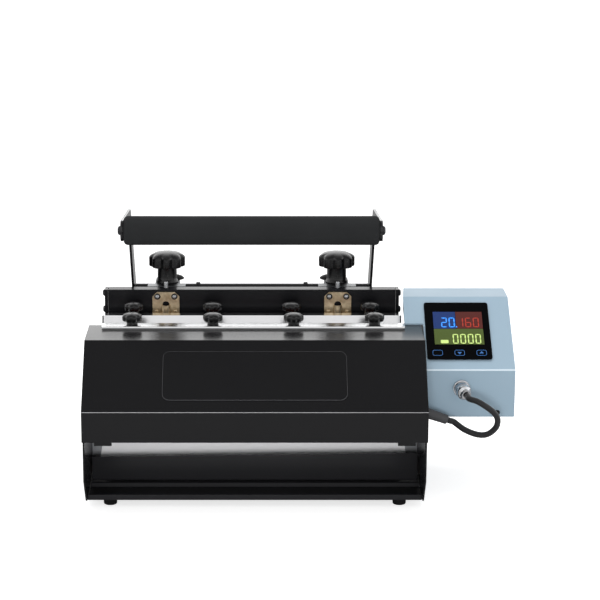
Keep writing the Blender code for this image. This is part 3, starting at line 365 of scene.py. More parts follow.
# Feet and bumpers: matte black.
foot_rubber = grained("matte_rubber", "#161616", "#101011", 0.62, 0.9, 0.12, **{"Specular IOR Level": 0.2})
# The cable's sleeve: softer and greyer than the feet.
sleeve_rubber = grained("soft_grey_sleeve", "#434345", "#38383A", 0.55, 0.9, 0.10)
# The mat: brick orange, with a faint gloss.
silicone_mat = grained("orange_silicone_mat", "#B4513A", "#9F432F", 0.50, 1.4, 0.10)

# %% Every CAD node gets its finish
finish_of = {
    "black_paint": black_paint, "box_paint": box_paint, "polished_steel": polished_steel,
    "grey_steel": grey_steel, "yellow_zinc": gold_zinc, "connector_chrome": chrome,
    "knob_plastic": knob_plastic, "black_plastic": black_plastic, "glass_black": gloss_black,
    "grip_foam": grip_foam, "black_rubber": foot_rubber, "silicone_pad": silicone_mat,
}
slot_of = {part["node"]: part["material_slot"] for part in frame["record"]["subparts"]}
for name, node in nodes.items():
    if not node.material_slots:
        node.data.materials.append(None)
    for material_slot in node.material_slots:
        material_slot.material = finish_of[slot_of[name]]
body_of = {node: body for body, held in frame["record"]["behaviour"]["bodies"].items() for node in held}
print("finishes set on", len(nodes), "nodes")

# %% [markdown]
# ## Soft edges for the folded and cut parts
#
# Real sheet metal and mouldings have no razor edges. A rigid part whose shape is right already is copied from
# its solid, its loose triangles are merged and its flat faces joined, and a small bevel rounds every sharp
# edge. The copy replaces the solid and rides on the same body. The solid stays in the scene, hidden.

# %% Copy, finish and modify a piece
def select_only(piece):
    """Make this the one selected and active object, for the operator that follows."""
    clear_selection()
    piece.select_set(True)
    bpy.context.view_layer.objects.active = piece


def copy_of(source):
    """A copy with a mesh of its own, in the same place."""
    piece = source.copy()
    piece.data = source.data.copy()
    scene.collection.objects.link(piece)
    return piece


def finished(piece, name, body, material, replaces=(), smooth=35):
    """Apply its place, close it facing outwards, give it its finish, and ride it on its body."""
    select_only(piece)
    if piece.type != "MESH":
        bpy.ops.object.convert(target="MESH")
        piece = bpy.context.object
    bpy.ops.object.transform_apply(location=True, rotation=True, scale=True)
    bpy.ops.object.mode_set(mode="EDIT")
    bpy.ops.mesh.select_all(action="SELECT")
    bpy.ops.mesh.remove_doubles(threshold=1e-6)
    bpy.ops.mesh.normals_make_consistent(inside=False)
    bpy.ops.object.mode_set(mode="OBJECT")
    if smooth:
        bpy.ops.object.shade_smooth_by_angle(angle=math.radians(smooth))
    piece.name = piece.data.name = name
    piece.data.materials.clear()
    piece.data.materials.append(material)
    if replaces:
        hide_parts(*replaces)
    if body:
        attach(piece, body)
    return piece


def modified(piece, kind, **settings):
    """Add a modifier with these settings and apply it."""
    modifier = piece.modifiers.new(kind.lower(), kind)
    for key, value in settings.items():
        setattr(modifier, key, value)
    select_only(piece)
    bpy.ops.object.modifier_apply(modifier=modifier.name)
    return piece


# %% Soften a copy of a solid
def merged_copy(node):
    """The solid's own shape as a clean mesh: doubles merged, and triangles of one flat face joined."""
    clear_selection()
    piece = copy_of(nodes[node])
    piece.parent = None
    for key in list(piece.keys()):
        del piece[key]
    piece.hide_render = piece.hide_viewport = False
    select_only(piece)
    bpy.ops.object.mode_set(mode="EDIT")
    bpy.ops.mesh.select_all(action="SELECT")
    bpy.ops.mesh.remove_doubles(threshold=1e-6)
    bpy.ops.mesh.dissolve_limited(angle_limit=math.radians(0.5))
    bpy.ops.object.mode_set(mode="OBJECT")
    return piece


def softened(node, edge, material=None):
    """A bevelled copy of a solid, with edges rounded by this many millimetres."""
    piece = merged_copy(node)
    modified(piece, "BEVEL", width=edge * millimetre, segments=2, limit_method="ANGLE",
             angle_limit=math.radians(40), use_clamp_overlap=True)
    piece = finished(piece, node + "_finished", body_of[node], material or finish_of[slot_of[node]],
                     [node])
    return modified(piece, "WEIGHTED_NORMAL", keep_sharp=True, weight=100)


# %% Edge radii in mm of the folded steel, bars, brackets, links and mouldings
edge_of = {
    "base_tray": 0.6, "left_side_plate": 0.5, "right_side_plate": 0.5, "rear_panel": 0.5, "front_cover": 1.1,
    "name_panel": 0.5, "press_beam": 0.7, "front_clamp_bar": 0.35, "rear_clamp_bar": 0.6,
    "left_swing_arm": 0.6, "right_swing_arm": 0.6, "left_guide_bracket": 0.5, "right_guide_bracket": 0.5,
    "left_knob_carrier": 0.5, "right_knob_carrier": 0.5, "left_handle_arm": 0.6, "right_handle_arm": 0.6,
    "handle_cross_tube": 0.5, "left_crank": 0.6, "right_crank": 0.6, "left_toggle_link": 0.6,
    "right_toggle_link": 0.6, "control_box": 1.2, "box_back_plate": 0.5, "controller_bezel": 0.8,
    "display_window": 0.2, "power_inlet": 0.5, "switch_frame": 0.4, "rocker_switch": 0.4, "beam_shaft": 0.5,
    "link_shaft": 0.5, "grip_rod": 0.4, "heat_shield": 0.3,
}
# The tray's and the strip's finishes hold painted light: a paler tray coat and a near white strip.
special = {"base_tray": tray_coat_painted_paler, "front_cover": cover_paint, "name_panel": cover_paint,
           "left_handle_arm": arm_paint, "right_handle_arm": arm_paint, "heat_shield": shield_painted_pale}
softened_pieces = {node: softened(node, edge, material=special.get(node)) for node, edge in edge_of.items()}
print(len(softened_pieces), "solids softened")


# %% Painted highlights on the folds and on the panel's rim
def paint_fold_highlight(piece, steepest, material):
    """Give the rounded front fold, between the upright face and the slope above it, a paler coat: a painted
    highlight.
    """
    flattest, fold_depth = 4, 0.002
    piece.data.materials.append(material)
    front = min(vertex.co.y for vertex in piece.data.vertices)
    for face in piece.data.polygons:
        tilt = math.degrees(math.asin(max(-1, min(1, face.normal.z))))
        if face.normal.y < 0 and flattest < tilt < steepest and face.center.y < front + fold_depth:
            face.material_index = 1


# Painted highlights along the front folds of the cover and the box.
paint_fold_highlight(softened_pieces["front_cover"], 36, fold_highlight_black)
paint_fold_highlight(softened_pieces["control_box"], 50, fold_highlight_blue)
name_panel = softened_pieces["name_panel"]
# The panel's bevelled rim gets the weak painted highlight.
name_panel.data.materials.append(panel_rim)
panel_face = max(name_panel.data.polygons, key=lambda face: face.area).normal.copy()
for face in name_panel.data.polygons:
    if abs(face.normal.dot(panel_face)) < 0.97:
        face.material_index = 1
print("bare panel outlined, its slope", round(math.degrees(math.acos(abs(panel_face.z)))), "degrees")

# %% [markdown]
# Three edges are then moved by a few millimetres, vertex by vertex. The front bar's cut edge leans back, so
# that it mirrors the bright room and not the black cover below it. The box's head reaches further in, behind
# the end of the beam, and the rear bar's lip is longer at both ends than the flange that it grows from.

# %% Lean the bar's edge, and lengthen the head and the lip
bar_edge, bar_lean = 0.0012, 0.3
bar_front, bar_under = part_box("front_clamp_bar")[0][1:]
for vertex in softened_pieces["front_clamp_bar"].data.vertices:
    if vertex.co.y < bar_front + bar_edge:
        vertex.co.y += bar_lean * (vertex.co.z - bar_under)

head_edge, head_back, head_reach = 0.0025, machine.y + 0.205, 0.0038
box_vertices = softened_pieces["control_box"].data.vertices
head_end = min(vertex.co.x for vertex in box_vertices)
for vertex in box_vertices:
    if vertex.co.x < head_end + head_edge and vertex.co.y < head_back:
        vertex.co.x -= head_reach

lip_front, lip_reach = machine.y + 0.186, 0.0048
lip_middle = sum(corner[0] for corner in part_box("rear_clamp_bar")) / 2
for vertex in softened_pieces["rear_clamp_bar"].data.vertices:
    if vertex.co.y < lip_front:
        vertex.co.x += math.copysign(lip_reach, vertex.co.x - lip_middle)
print("edges moved by up to", head_reach, "and", lip_reach, "m")

# %% [markdown]
# ## Thin plates
#
# Three kinds of thin plate aren't in the solids. The pale strip behind the tray ends in a duller grey wing on
# each side: the wings' grey is a painted reflection of the dark side plates. The rear bar's lip is closed at
# both ends by a small black piece, which leans back as the lip does. An upright black panel stands in the
# tray, and its upper edge rises a little to the right. Each is a cube made as thin as a sheet.

# %% Grey end wings of the steel strip, and the black ends of the rear lip
def leaning_plate(size, place, lean):
    """A thin plate of this size, leant back by this many degrees."""
    clear_selection()
    bpy.ops.mesh.primitive_cube_add(size=1, location=place, rotation=(math.radians(-lean), 0, 0), scale=size)
    return modified(bpy.context.object, "BEVEL", width=0.0002, segments=2)


wall_gap, strip_overlap, wing_thick, wing_tall, wing_lean = 0.0004, 0.004, 0.0008, 0.0440, 10.25
end_piece_size, end_piece_lean = (0.0015, 0.0024, 0.0102), 15
lip_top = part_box("rear_clamp_bar")[1][2]
for side, direction in both_sides:
    wall = outer_face(side + "_side_plate", -direction) - direction * wall_gap
    strip_end = outer_face("heat_shield", direction) - direction * strip_overlap
    wing = leaning_plate((abs(wall - strip_end), wing_thick, wing_tall),
                         ((wall + strip_end) / 2, machine.y + 0.1076, 0.0615), wing_lean)
    # The wing's grey is a painted reflection of the dark side plate beside it.
    finished(wing, side + "_strip_wing", "frame", wing_painted_grey)
    lip_end = outer_face("rear_clamp_bar", direction) + direction * 0.0046
    end_piece = leaning_plate(end_piece_size, (lip_end, lip_front - 0.0075, lip_top - 0.0048), end_piece_lean)
    finished(end_piece, side + "_lip_end", "beam", black_plastic)
print("wings and lip ends placed")

# %% The upright black panel in the tray
panel_middle, panel_tall, panel_thick, panel_rise, side_gaps = 0.0320, 0.0280, 0.0015, 0.0045, 0.004
tray_left, tray_right = outer_face("left_side_plate", 1), outer_face("right_side_plate", -1)
clear_selection()
bpy.ops.mesh.primitive_cube_add(
    size=1, location=((tray_left + tray_right) / 2, machine.y + 0.080, panel_middle),
    scale=(tray_right - tray_left - side_gaps, panel_thick, panel_tall))
panel = bpy.context.object
bpy.ops.object.transform_apply(location=True, rotation=True, scale=True)
for vertex in panel.data.vertices:
    if vertex.co.z > panel_middle and vertex.co.x > 0:
        vertex.co.z += panel_rise
# The panel takes the tray's coat, painted paler as light it lacks in the shade.
finished(modified(panel, "BEVEL", width=0.0003, segments=2), "tray_panel", "frame", tray_coat_painted_paler)
print("tray panel", round(tray_right - tray_left - side_gaps, 4), "m long, between the side plates")

# %% [markdown]
# ## Turned pieces
#
# Knobs, feet, screws and connectors are round. By hand one starts from a circle, then extrudes and scales its
# face from one step of the profile to the next, as if building the part up in layers on a lathe. A layer can
# also have lobes: after it is extruded, each of its points moves in by as much as its place in a lobe asks, so
# the lobes grow and fade from layer to layer, as on a moulded knob.

# %% A turned piece
def turned(profile, sides=48, lobes=0):
    """Layers of (radius, height) round Z. A third number in a layer is the depth of its lobes."""
    clear_selection()
    radius, height, wave = (*profile[0], 0.0)[:3]
    bpy.ops.mesh.primitive_circle_add(vertices=sides, radius=radius, fill_type="NGON",
                                      location=(0, 0, height))
    piece = bpy.context.object
    bpy.ops.object.transform_apply(location=True, rotation=True, scale=True)
    bpy.ops.object.mode_set(mode="EDIT")
    bpy.ops.mesh.select_all(action="SELECT")
    for layer in profile[1:]:
        next_radius, next_height, next_wave = (*layer, 0.0)[:3]
        bpy.ops.mesh.extrude_region_move(TRANSFORM_OT_translate={"value": (0, 0, next_height - height)})
        factor = next_radius / radius
        bpy.ops.transform.resize(value=(factor, factor, 1), center_override=(0, 0, next_height))
        if next_wave != wave:
            bpy.ops.object.mode_set(mode="OBJECT")
            shape_lobes(piece, sides, lobes, wave, next_wave)
            bpy.ops.object.mode_set(mode="EDIT")
        radius, height, wave = next_radius, next_height, next_wave
    bpy.ops.object.mode_set(mode="OBJECT")
    return piece


def lobe_factor(step, per_lobe, wave):
    """How far this point of a lobe stands out: broad on the lobe and narrow in the groove between two."""
    swing = 0.5 + 0.5 * math.cos(2 * math.pi * step / per_lobe)
    return 1 - wave * (1 - swing) ** 1.8


def shape_lobes(piece, sides, lobes, old_wave, wave):
    """Move the selected layer's points in or out, from one depth of lobes to another."""
    per_lobe = sides // lobes
    for v in piece.data.vertices:
        if v.select:
            step = round(math.atan2(v.co.y, v.co.x) / (2 * math.pi) * sides) % per_lobe
            factor = lobe_factor(step, per_lobe, wave) / lobe_factor(step, per_lobe, old_wave)
            v.co.x *= factor
            v.co.y *= factor


def aimed(piece, place, direction=(0, 0, 1)):
    """Stand a turned piece at its place, its axis along this direction."""
    piece.rotation_euler = Vector(direction).to_track_quat("Z", "Y").to_euler()
    piece.location = place
    return piece


# %% [markdown]
# ## Clamp knobs
#
# Eight small lobed knobs hold the two clamp bars. Each is a moulded head with a domed top and rounded lobes on
# a narrower collar, and grips a threaded zinc stud. One head and one stud are modelled and copied to their
# places, each turned a little differently, as hands leave them. The rear ones stand on a thin washer.

# %% Small clamp knobs
knob_profile = [(0.0056, 0.0003), (0.0065, 0.0003), (0.0067, 0.0008), (0.0066, 0.0022), (0.0065, 0.0033),
                (0.0096, 0.0036, 0.08), (0.0109, 0.0042, 0.13), (0.0116, 0.0054, 0.15), (0.0117, 0.0090, 0.15),
                (0.0114, 0.0101, 0.14), (0.0105, 0.0110, 0.10), (0.0084, 0.0120, 0.05), (0.0052, 0.0128),
                (0.0015, 0.0131)]
washer_thick = 0.0013
washer_profile = [(0.0064, 0.0001), (0.0068, 0.0003), (0.0068, 0.0011), (0.0064, washer_thick)]
stud_profile = [(0.0020, -0.0115), (0.0025, -0.0110)]
stud_profile += [point for turn in range(10) for point in
                 ((0.0025, -0.0106 + turn * 0.001), (0.0021, -0.0101 + turn * 0.001))]
stud_profile += [(0.0025, 0.0004), (0.0025, 0.0010)]


def screwed_knob(node, head, stud, seat, turn):
    """A head and a stud at the place where the solid's axis meets the plate, at this height and turn."""
    middle = middle_of(node)[0]
    for source, name, material, slot, hidden in (
            (head, node + "_head", knob_plastic, "knob_plastic", [node]),
            (stud, node + "_stud", bright_zinc, "grey_steel", ())):
        piece = copy_of(source)
        piece.location = (middle.x, middle.y, seat)
        piece.rotation_euler = (0, 0, math.radians(turn))
        finished(piece, name, body_of[node], material, hidden, smooth=32)


small_head = turned(knob_profile, sides=64, lobes=8)
small_stud = turned(stud_profile, sides=20)
bar_top = {"front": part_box("front_clamp_bar")[1][2], "rear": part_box("rear_clamp_bar")[1][2]}
seat_gap = 0.0002
for row, first_turn, raised in (("front", 6, 0.0), ("rear", 17, washer_thick)):
    for number in range(1, 5):
        node = f"{row}_clamp_knob_{number}"
        screwed_knob(node, small_head, small_stud, bar_top[row] + seat_gap + raised, first_turn + 13 * number)
        if raised:
            middle = middle_of(node)[0]
            washer = aimed(turned(washer_profile, sides=32), (middle.x, middle.y, bar_top[row]))
            finished(washer, node + "_washer", body_of[node], grey_steel)
print("eight clamp knobs, bars at", bar_top)

# %% [markdown]
# ## Pressure knobs
#
# Two star knobs with eight broad lobes set the pressure. The head is a low dome over straight-sided lobes,
# and stands on a long hub that flares to a foot on the carrier plate.

# %% Star knobs
star_profile = [(0.0126, 0.0003), (0.0136, 0.0003), (0.0138, 0.0010), (0.0134, 0.0022),
                (0.0124, 0.0040), (0.0119, 0.0060), (0.0117, 0.0184, 0.02), (0.0120, 0.0192, 0.04),
                (0.0205, 0.0198, 0.15),
                (0.0218, 0.0205, 0.16), (0.0221, 0.0216, 0.17), (0.0221, 0.0308, 0.17), (0.0218, 0.0320, 0.16),
                (0.0209, 0.0331, 0.14), (0.0187, 0.0346, 0.09), (0.0152, 0.0360, 0.03), (0.0105, 0.0371),
                (0.0055, 0.0377), (0.0015, 0.0379)]
star_head = turned(star_profile, sides=96, lobes=8)
thick_stud = turned([(r * 2, z * 1.5) for r, z in stud_profile], sides=24)
for side, turn in (("left", 0), ("right", 5)):
    carrier_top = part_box(side + "_knob_carrier")[1][2]
    screwed_knob(side + "_pressure_knob", star_head, thick_stud, carrier_top + seat_gap, turn)
for pattern in (small_head, small_stud, star_head, thick_stud):
    bpy.data.objects.remove(pattern)
print("two star knobs, carriers at", carrier_top)

# %% [markdown]
# ## Screws
#
# The visible fasteners are pan heads with a cross recess and button heads with a hex socket. Each kind is
# made once: a turned head, cut by a recess with a Boolean. The head stands on the surface it holds.

# %% One screw of each kind
def carved(piece, cutters):
    """Cut each of these shapes out of the piece, then delete them."""
    for cutter in cutters:
        modified(piece, "BOOLEAN", operation="DIFFERENCE", object=cutter, solver="EXACT")
        bpy.data.objects.remove(cutter)
    return piece


def bar_cutter(length, width, top, depth, turn):
    """One slot of a cross recess."""
    clear_selection()
    bpy.ops.mesh.primitive_cube_add(size=1, location=(0, 0, top), rotation=(0, 0, math.radians(turn)),
                                    scale=(length, width, depth * 2))
    bpy.ops.object.transform_apply(location=True, rotation=True, scale=True)
    return bpy.context.object


def hex_cutter(radius, top, depth):
    """A hex socket."""
    clear_selection()
    bpy.ops.mesh.primitive_cylinder_add(vertices=6, radius=radius, depth=depth * 2, location=(0, 0, top))
    bpy.ops.object.transform_apply(location=True, rotation=True, scale=True)
    return bpy.context.object


unit_head = [(0.86, 0.0), (1.0, 0.06), (1.0, 0.28), (0.94, 0.44), (0.80, 0.57), (0.58, 0.66), (0.32, 0.70)]


def screw_head(radius, recess):
    """A domed head with its recess. Its faces must point outwards before the Boolean cuts it."""
    piece = turned([(r * radius, z * radius) for r, z in unit_head], sides=32)
    select_only(piece)
    bpy.ops.object.mode_set(mode="EDIT")
    bpy.ops.mesh.select_all(action="SELECT")
    bpy.ops.mesh.normals_make_consistent(inside=False)
    bpy.ops.object.mode_set(mode="OBJECT")
    top = unit_head[-1][1] * radius
    if recess == "cross":
        return carved(piece, [bar_cutter(radius, radius * 0.2, top, radius * 0.32, turn)
                              for turn in (20, 110)])
    return carved(piece, [hex_cutter(radius * 0.5, top, radius * 0.42)])


# Each kind is named by its recess and by its head's radius in mm.
patterns = {(recess, radius): screw_head(radius * millimetre, recess)
            for recess, radius in (("cross", 3.0), ("cross", 2.4), ("hex", 4.0), ("hex", 5.2))}


def screw(name, kind, place, direction, body, material, sink=0.05):
    """Copy a screw head to its place on a surface, sunk in by a hair so that no light shows under it."""
    piece = copy_of(patterns[kind])
    direction = Vector(direction).normalized()
    aimed(piece, Vector(place) - direction * sink * millimetre, direction)
    finished(piece, name, body, material, smooth=40)


print(len(patterns), "kinds of screw head")

# %% [markdown]
# Each guide bracket has two bright screws on black washers above, and two in its own gold below. Brackets and
# pressure knobs stand in line, 104 mm to either side of a middle that lies 3.6 mm left of the cover's.

# %% Screws on the guide brackets
beam_middle, knob_spread = -3.6, 104
bracket_face, washer_lift, forward = 205.7, 0.5, (0, -1, 0)
bracket_washer = [(0.0034, 0.0), (0.0038, 0.0002), (0.0036, 0.0006), (0.0024, 0.0007)]
for side, direction in both_sides:
    x = beam_middle + knob_spread * direction
    for corner, (dx, z) in enumerate(((-10.3, 208.0), (10.3, 208.0), (-11.4, 189.6), (11.4, 189.6)), 1):
        name = f"{side}_bracket_screw_{corner}"
        if corner > 2:
            screw(name, ("cross", 2.4), at(x + dx, bracket_face, z), forward, "beam", gold_zinc)
            continue
        washer = aimed(turned(bracket_washer, sides=28), at(x + dx, bracket_face, z), forward)
        finished(washer, f"{side}_bracket_washer_{corner}", "beam", black_oxide)
        screw(name, ("cross", 2.4), at(x + dx, bracket_face - washer_lift, z), forward, "beam",
              bright_zinc)
print("eight bracket screws")

# %% Bolts on the beam's ends and screws in the side plates
for side, direction in both_sides:
    for number, z in enumerate((190.2, 210.6), 1):
        place = at(0, 216, z)
        place.x = outer_face(side + "_swing_arm", direction)
        screw(f"{side}_beam_bolt_{number}", ("hex", 4.0), place, (direction, 0, 0), "beam", black_oxide)
    for number, (y, z) in enumerate(((40, 112), (106, 160), (286, 30), (286, 96)), 1):
        place = at(0, y, z)
        place.x = outer_face(side + "_side_plate", direction)
        screw(f"{side}_plate_screw_{number}", ("cross", 3.0), place, (direction, 0, 0), "frame", black_oxide)
print("bolts on both sides")

# %% [markdown]
# ## Small parts on the carrier plates
#
# In front of each star knob a bright set screw stands up through the grey carrier plate, and behind it, nearer
# the middle, lies a low black rubber bumper.

# %% Set screws and bumpers
for side, direction in both_sides:
    x = beam_middle + knob_spread * direction
    pin = turned([(0.0020, 0), (0.0024, 0.0004), (0.0024, 0.0066), (0.0022, 0.0075), (0.0015, 0.0080)],
                 sides=24)
    aimed(pin, at(x, 213.5, 216.8))
    finished(pin, side + "_set_screw", "beam", bright_zinc)
    bumper = turned([(0.0108, 0), (0.0114, 0.0004), (0.0106, 0.0016), (0.0086, 0.0031), (0.0062, 0.0041),
                     (0.0036, 0.0047), (0.0010, 0.0049)], sides=40)
    aimed(bumper, at(x - 9.0 * direction, 267.5, 216.2))
    finished(bumper, side + "_rubber_bumper", "beam", foot_rubber)
print("set screws and bumpers on both carriers")

# %% [markdown]
# ## Feet
#
# Four round moulded rubber feet, nearly straight-sided, with a hollow for a screw in the underside. The rear
# pair is taller, because the tray steps up towards the back.

# %% Feet
for name in ("front_left_foot", "front_right_foot", "rear_left_foot", "rear_right_foot"):
    middle, low, high = middle_of(name)
    tall = high.z - low.z
    foot = turned([(0.0022, 0.0030), (0.0032, 0.0028), (0.0034, 0.0004), (0.0067, 0.0), (0.0074, 0.0004),
                   (0.0077, 0.0014), (0.0080, tall - 0.0020), (0.0080, tall - 0.0006), (0.0079, tall)],
                  sides=40)
    aimed(foot, (middle.x, middle.y, low.z))
    finished(foot, name + "_rubber", "frame", foot_rubber, [name])
    print(name, round(tall, 4), "m tall")

# %% [markdown]
# ## The foam grip
#
# A tube of closed-cell foam is pushed over the rod. Its ends are cut square and their edges are a little
# rounded and pressed, so the profile is a long straight run with small soft corners, and a shallow dish round
# the rod at each end.

# %% Foam grip
middle, low, high = middle_of("grip_sleeve")
half = (high.x - low.x) / 2
radius = (high.z - low.z) / 2
grip_end = [(0.0100, 0.0006), (0.0118, 0.0), (radius - 0.0044, 0.0), (radius - 0.0026, 0.0005),
            (radius - 0.0012, 0.0014), (radius - 0.0004, 0.0028), (radius, 0.0046)]
profile = [(r, z - half) for r, z in grip_end]
profile += [(radius - 0.0001, x * half) for x in (-0.6, -0.2, 0.2, 0.6)]
profile += [(r, half - z) for r, z in reversed(grip_end)]
grip = aimed(turned(profile, sides=72), middle, (1, 0, 0))
finished(grip, "foam_grip", "handle", grip_foam, ["grip_sleeve"], smooth=50)
for side, direction in both_sides:
    arm_face = outer_face(side + "_handle_arm", direction)
    screw(side + "_grip_bolt", ("hex", 5.2), (arm_face, middle.y, middle.z), (direction, 0, 0), "handle",
          black_oxide, sink=0.0)
print("grip", round(half * 2, 4), "m long,", round(radius * 2, 4), "m across")

# %% [markdown]
# ## The connector
#
# A round metal connector of the kind used on stage and machine cables: a panel socket with a flange and a
# threaded ring, and a plug whose waisted barrel narrows to a clamp nut round the cable. The thread is three
# shallow grooves in the profile.

# %% Socket and plug
middle, low, high = middle_of("cable_socket")
socket_profile = [(0.0094, 0), (0.0100, 0.0004), (0.0100, 0.0020), (0.0097, 0.0024), (0.0090, 0.0026),
                  (0.0086, 0.0026)]
socket_profile += [point for turn in range(3) for point in
                   ((0.0086, 0.0030 + turn * 0.0009), (0.0082, 0.0034 + turn * 0.0009))]
socket_profile += [(0.0080, 0.0059), (0.0060, 0.0060)]
flange = aimed(turned(socket_profile, sides=48), (middle.x, high.y, middle.z), forward)
finished(flange, "panel_socket", "frame", chrome, ["cable_socket"])

plug_base = machine + plug_end
barrel = turned([(0.0060, 0.0), (0.0078, 0.0003), (0.0084, 0.0009), (0.0085, 0.0014), (0.0082, 0.0018),
                 (0.0083, 0.0022), (0.0083, 0.0056), (0.0082, 0.0060), (0.0085, 0.0064), (0.0084, 0.0070),
                 (0.0072, 0.0080), (0.0058, 0.0086), (0.0055, 0.0090)], sides=72)
aimed(barrel, plug_base, plug_out)
finished(barrel, "plug_barrel", "frame", chrome, ["cable_plug"])
clamp = turned([(0.0050, 0.0084), (0.0056, 0.0086), (0.0060, 0.0092), (0.0060, 0.0118), (0.0057, 0.0124),
                (0.0050, 0.0127), (0.0044, 0.0127)], sides=48)
aimed(clamp, plug_base, plug_out)
finished(clamp, "plug_clamp_nut", "frame", chrome)
print("connector made, its plug points", tuple(plug_out))

# %% [markdown]
# The cable is a curve along that line with a round bevel. Made a mesh, it keeps the curve's UV map, which
# runs along it, so the braid of its sleeving follows every bend. Black on black, the braid shows as a faint
# slanting sheen.

# %% Cable sleeving and the cable
def braid(name, colour, shade, across, along):
    """Woven sleeving drawn on the cable's own UV map: two sets of slanting strands."""
    made, output = new_material(name)
    place = add(made, "TexCoord")
    strands = []
    for slant in (1, -1):
        lean = add(made, "Mapping", {"Rotation": (0, 0, math.radians(38 * slant)),
                                     "Scale": (along, across, 1)}, Vector=place.outputs["UV"])
        strands.append(add(made, "TexWave", {"Scale": 1.0, "Distortion": 0.4, "Detail": 1.0},
                           Vector=lean.outputs[0]))
    woven = add(made, "Math", {"operation": "MAXIMUM"}, _0=strands[0].outputs["Fac"],
                _1=strands[1].outputs["Fac"])
    tint = add(made, "MixRGB", {"Color1": linear(shade), "Color2": linear(colour)}, Fac=woven.outputs[0])
    relief = add(made, "Bump", {"Strength": 0.25, "Distance": 0.0004}, Height=woven.outputs[0])
    surface = add(made, "BsdfPrincipled", {"Roughness": 0.46, "Sheen Weight": 0.15},
                  Base_Color=tint.outputs[0], Normal=relief.outputs[0])
    made.node_tree.links.new(output.inputs["Surface"], surface.outputs[0])
    return made


cable_sleeving = braid("black_braided_sleeving", "#18181A", "#0D0D0E", 9.0, 60.0)
curve = bpy.data.curves.new("heater_lead", "CURVE")
curve.dimensions = "3D"
spline = curve.splines.new("POLY")
spline.points.add(len(cable_line) - 1)
for point, where in zip(spline.points, cable_line):
    point.co = (*where, 1)
cable_diameter = 0.007
curve.bevel_depth = cable_diameter / 2
curve.bevel_resolution = 5
curve.use_fill_caps = True
lead = bpy.data.objects.new("heater_lead", curve)
scene.collection.objects.link(lead)
lead = finished(lead, "heater_lead", "frame", cable_sleeving, ["heater_cable"], smooth=60)
print("cable drawn through", len(cable_line), "points")

# %% [markdown]
# The lead goes back into the press through a soft grey sleeve, which leans down and is ribbed a little where
# it may bend. A short root, square to the side plate, joins the two.

# %% Cable sleeve in the side plate
boot = turned([(0.0050, 0.0001), (0.0058, 0.0003), (0.0060, 0.0012), (0.0060, 0.0085), (0.0057, 0.0100),
               (0.0059, 0.0120), (0.0057, 0.0150), (0.0058, 0.0175), (0.0055, 0.0200), (0.0056, 0.0235),
               (0.0054, 0.0258), (0.0049, 0.0267), (0.0041, 0.0270)], sides=40)
aimed(boot, machine + sleeve_base, sleeve_out)
finished(boot, "cable_boot", "frame", sleeve_rubber, ["cable_sleeve"], smooth=50)
root = turned([(0.0040, 0.0), (0.0045, 0.0004), (0.0045, 0.0040), (0.0042, 0.0052)], sides=32)
aimed(root, machine + Vector((0.192, 0.060, 0.106)), (1, 0, 0))
finished(root, "cable_boot_root", "frame", sleeve_rubber, smooth=50)
print("cable sleeve leans", round(math.degrees(sleeve_lean)), "degrees")

# %% [markdown]
# ## The heating mat
#
# The trough is a thin polished steel strip that carries a silicone heating mat on its inside. Both hang in a
# U from the fixed front bar to the bar on the swinging beam, and bend as the beam moves. Each is a clean copy
# of its solid, whose U is already made of short flat lengths. It is made 3% narrower, so that the bars show
# past its ends as in the photograph, and is set to ride on no body.

# %% Steel strip and silicone mat
narrowed = 0.97
for node, name, material in (("heater_band", "trough_strip", polished_steel),
                             ("heater_pad", "silicone_heating_mat", silicone_mat)):
    strip = merged_copy(node)
    select_only(strip)
    bpy.ops.object.transform_apply(location=True, rotation=True, scale=True)
    bpy.ops.object.mode_set(mode="EDIT")
    bpy.ops.mesh.select_all(action="SELECT")
    bpy.ops.transform.resize(value=(narrowed, 1, 1), center_override=middle_of(node)[0])
    bpy.ops.object.mode_set(mode="OBJECT")
    strip = finished(strip, name, None, material, [node], smooth=50)
    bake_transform(strip)

# %% [markdown]
# ## The controller's front
#
# A gloss black panel lies on the box's slope. Its display is backlit in three fields, each with seven-segment
# figures, and below it are three touch keys: one blank, one down and one up. A flat rounded plate is made
# from a plane by rounding its corners; a key's ring is the same with its inside removed. One segment is
# modelled, and every figure is built from copies of it. All of it is drawn flat, in millimetres from the
# panel's lower left corner, and then laid on the slope.

# %% Plates and rings on the slope
slope_depth, slope_rise, panel_starts = 91, 65, 0.13
lean = math.atan2(slope_rise, slope_depth)
slope_start = at(200, 77 + slope_depth * panel_starts, 152 + slope_rise * panel_starts)
slope_turn = Matrix.Translation(slope_start) @ Matrix.Rotation(lean, 4, "X")
glass_left, glass_low, glass_top = 9.4, 21.0, 2.8
film_thick = 0.05


def rounded_plate(width, height, corner=0.0, ring=0.0):
    """A film in mm with round corners, lying on Z = 0. With ring, only a border of that width is left."""
    clear_selection()
    bpy.ops.mesh.primitive_plane_add(size=1, location=(0, 0, 0))
    bpy.ops.transform.resize(value=(width * millimetre, height * millimetre, 1))
    bpy.ops.object.transform_apply(location=True, rotation=True, scale=True)
    plate = bpy.context.object
    bpy.ops.object.mode_set(mode="EDIT")
    bpy.ops.mesh.select_all(action="SELECT")
    if corner:
        bpy.ops.mesh.bevel(offset=corner * millimetre, segments=5, affect="VERTICES")
        bpy.ops.mesh.select_all(action="SELECT")
    if ring:
        bpy.ops.mesh.inset(thickness=ring * millimetre)
        bpy.ops.mesh.delete(type="FACE")
        bpy.ops.mesh.select_all(action="SELECT")
    bpy.ops.mesh.extrude_region_move(TRANSFORM_OT_translate={"value": (0, 0, film_thick * millimetre)})
    bpy.ops.object.mode_set(mode="OBJECT")
    return plate


def on_slope(piece, u, v, lift, name, material):
    """Lay a piece on the controller: u across and v up the slope from its lower left corner, in mm."""
    place = Matrix.Translation(Vector((u, v, lift)) * millimetre)
    piece.matrix_world = slope_turn @ place @ piece.matrix_world
    finished(piece, name, "frame", material, smooth=0)


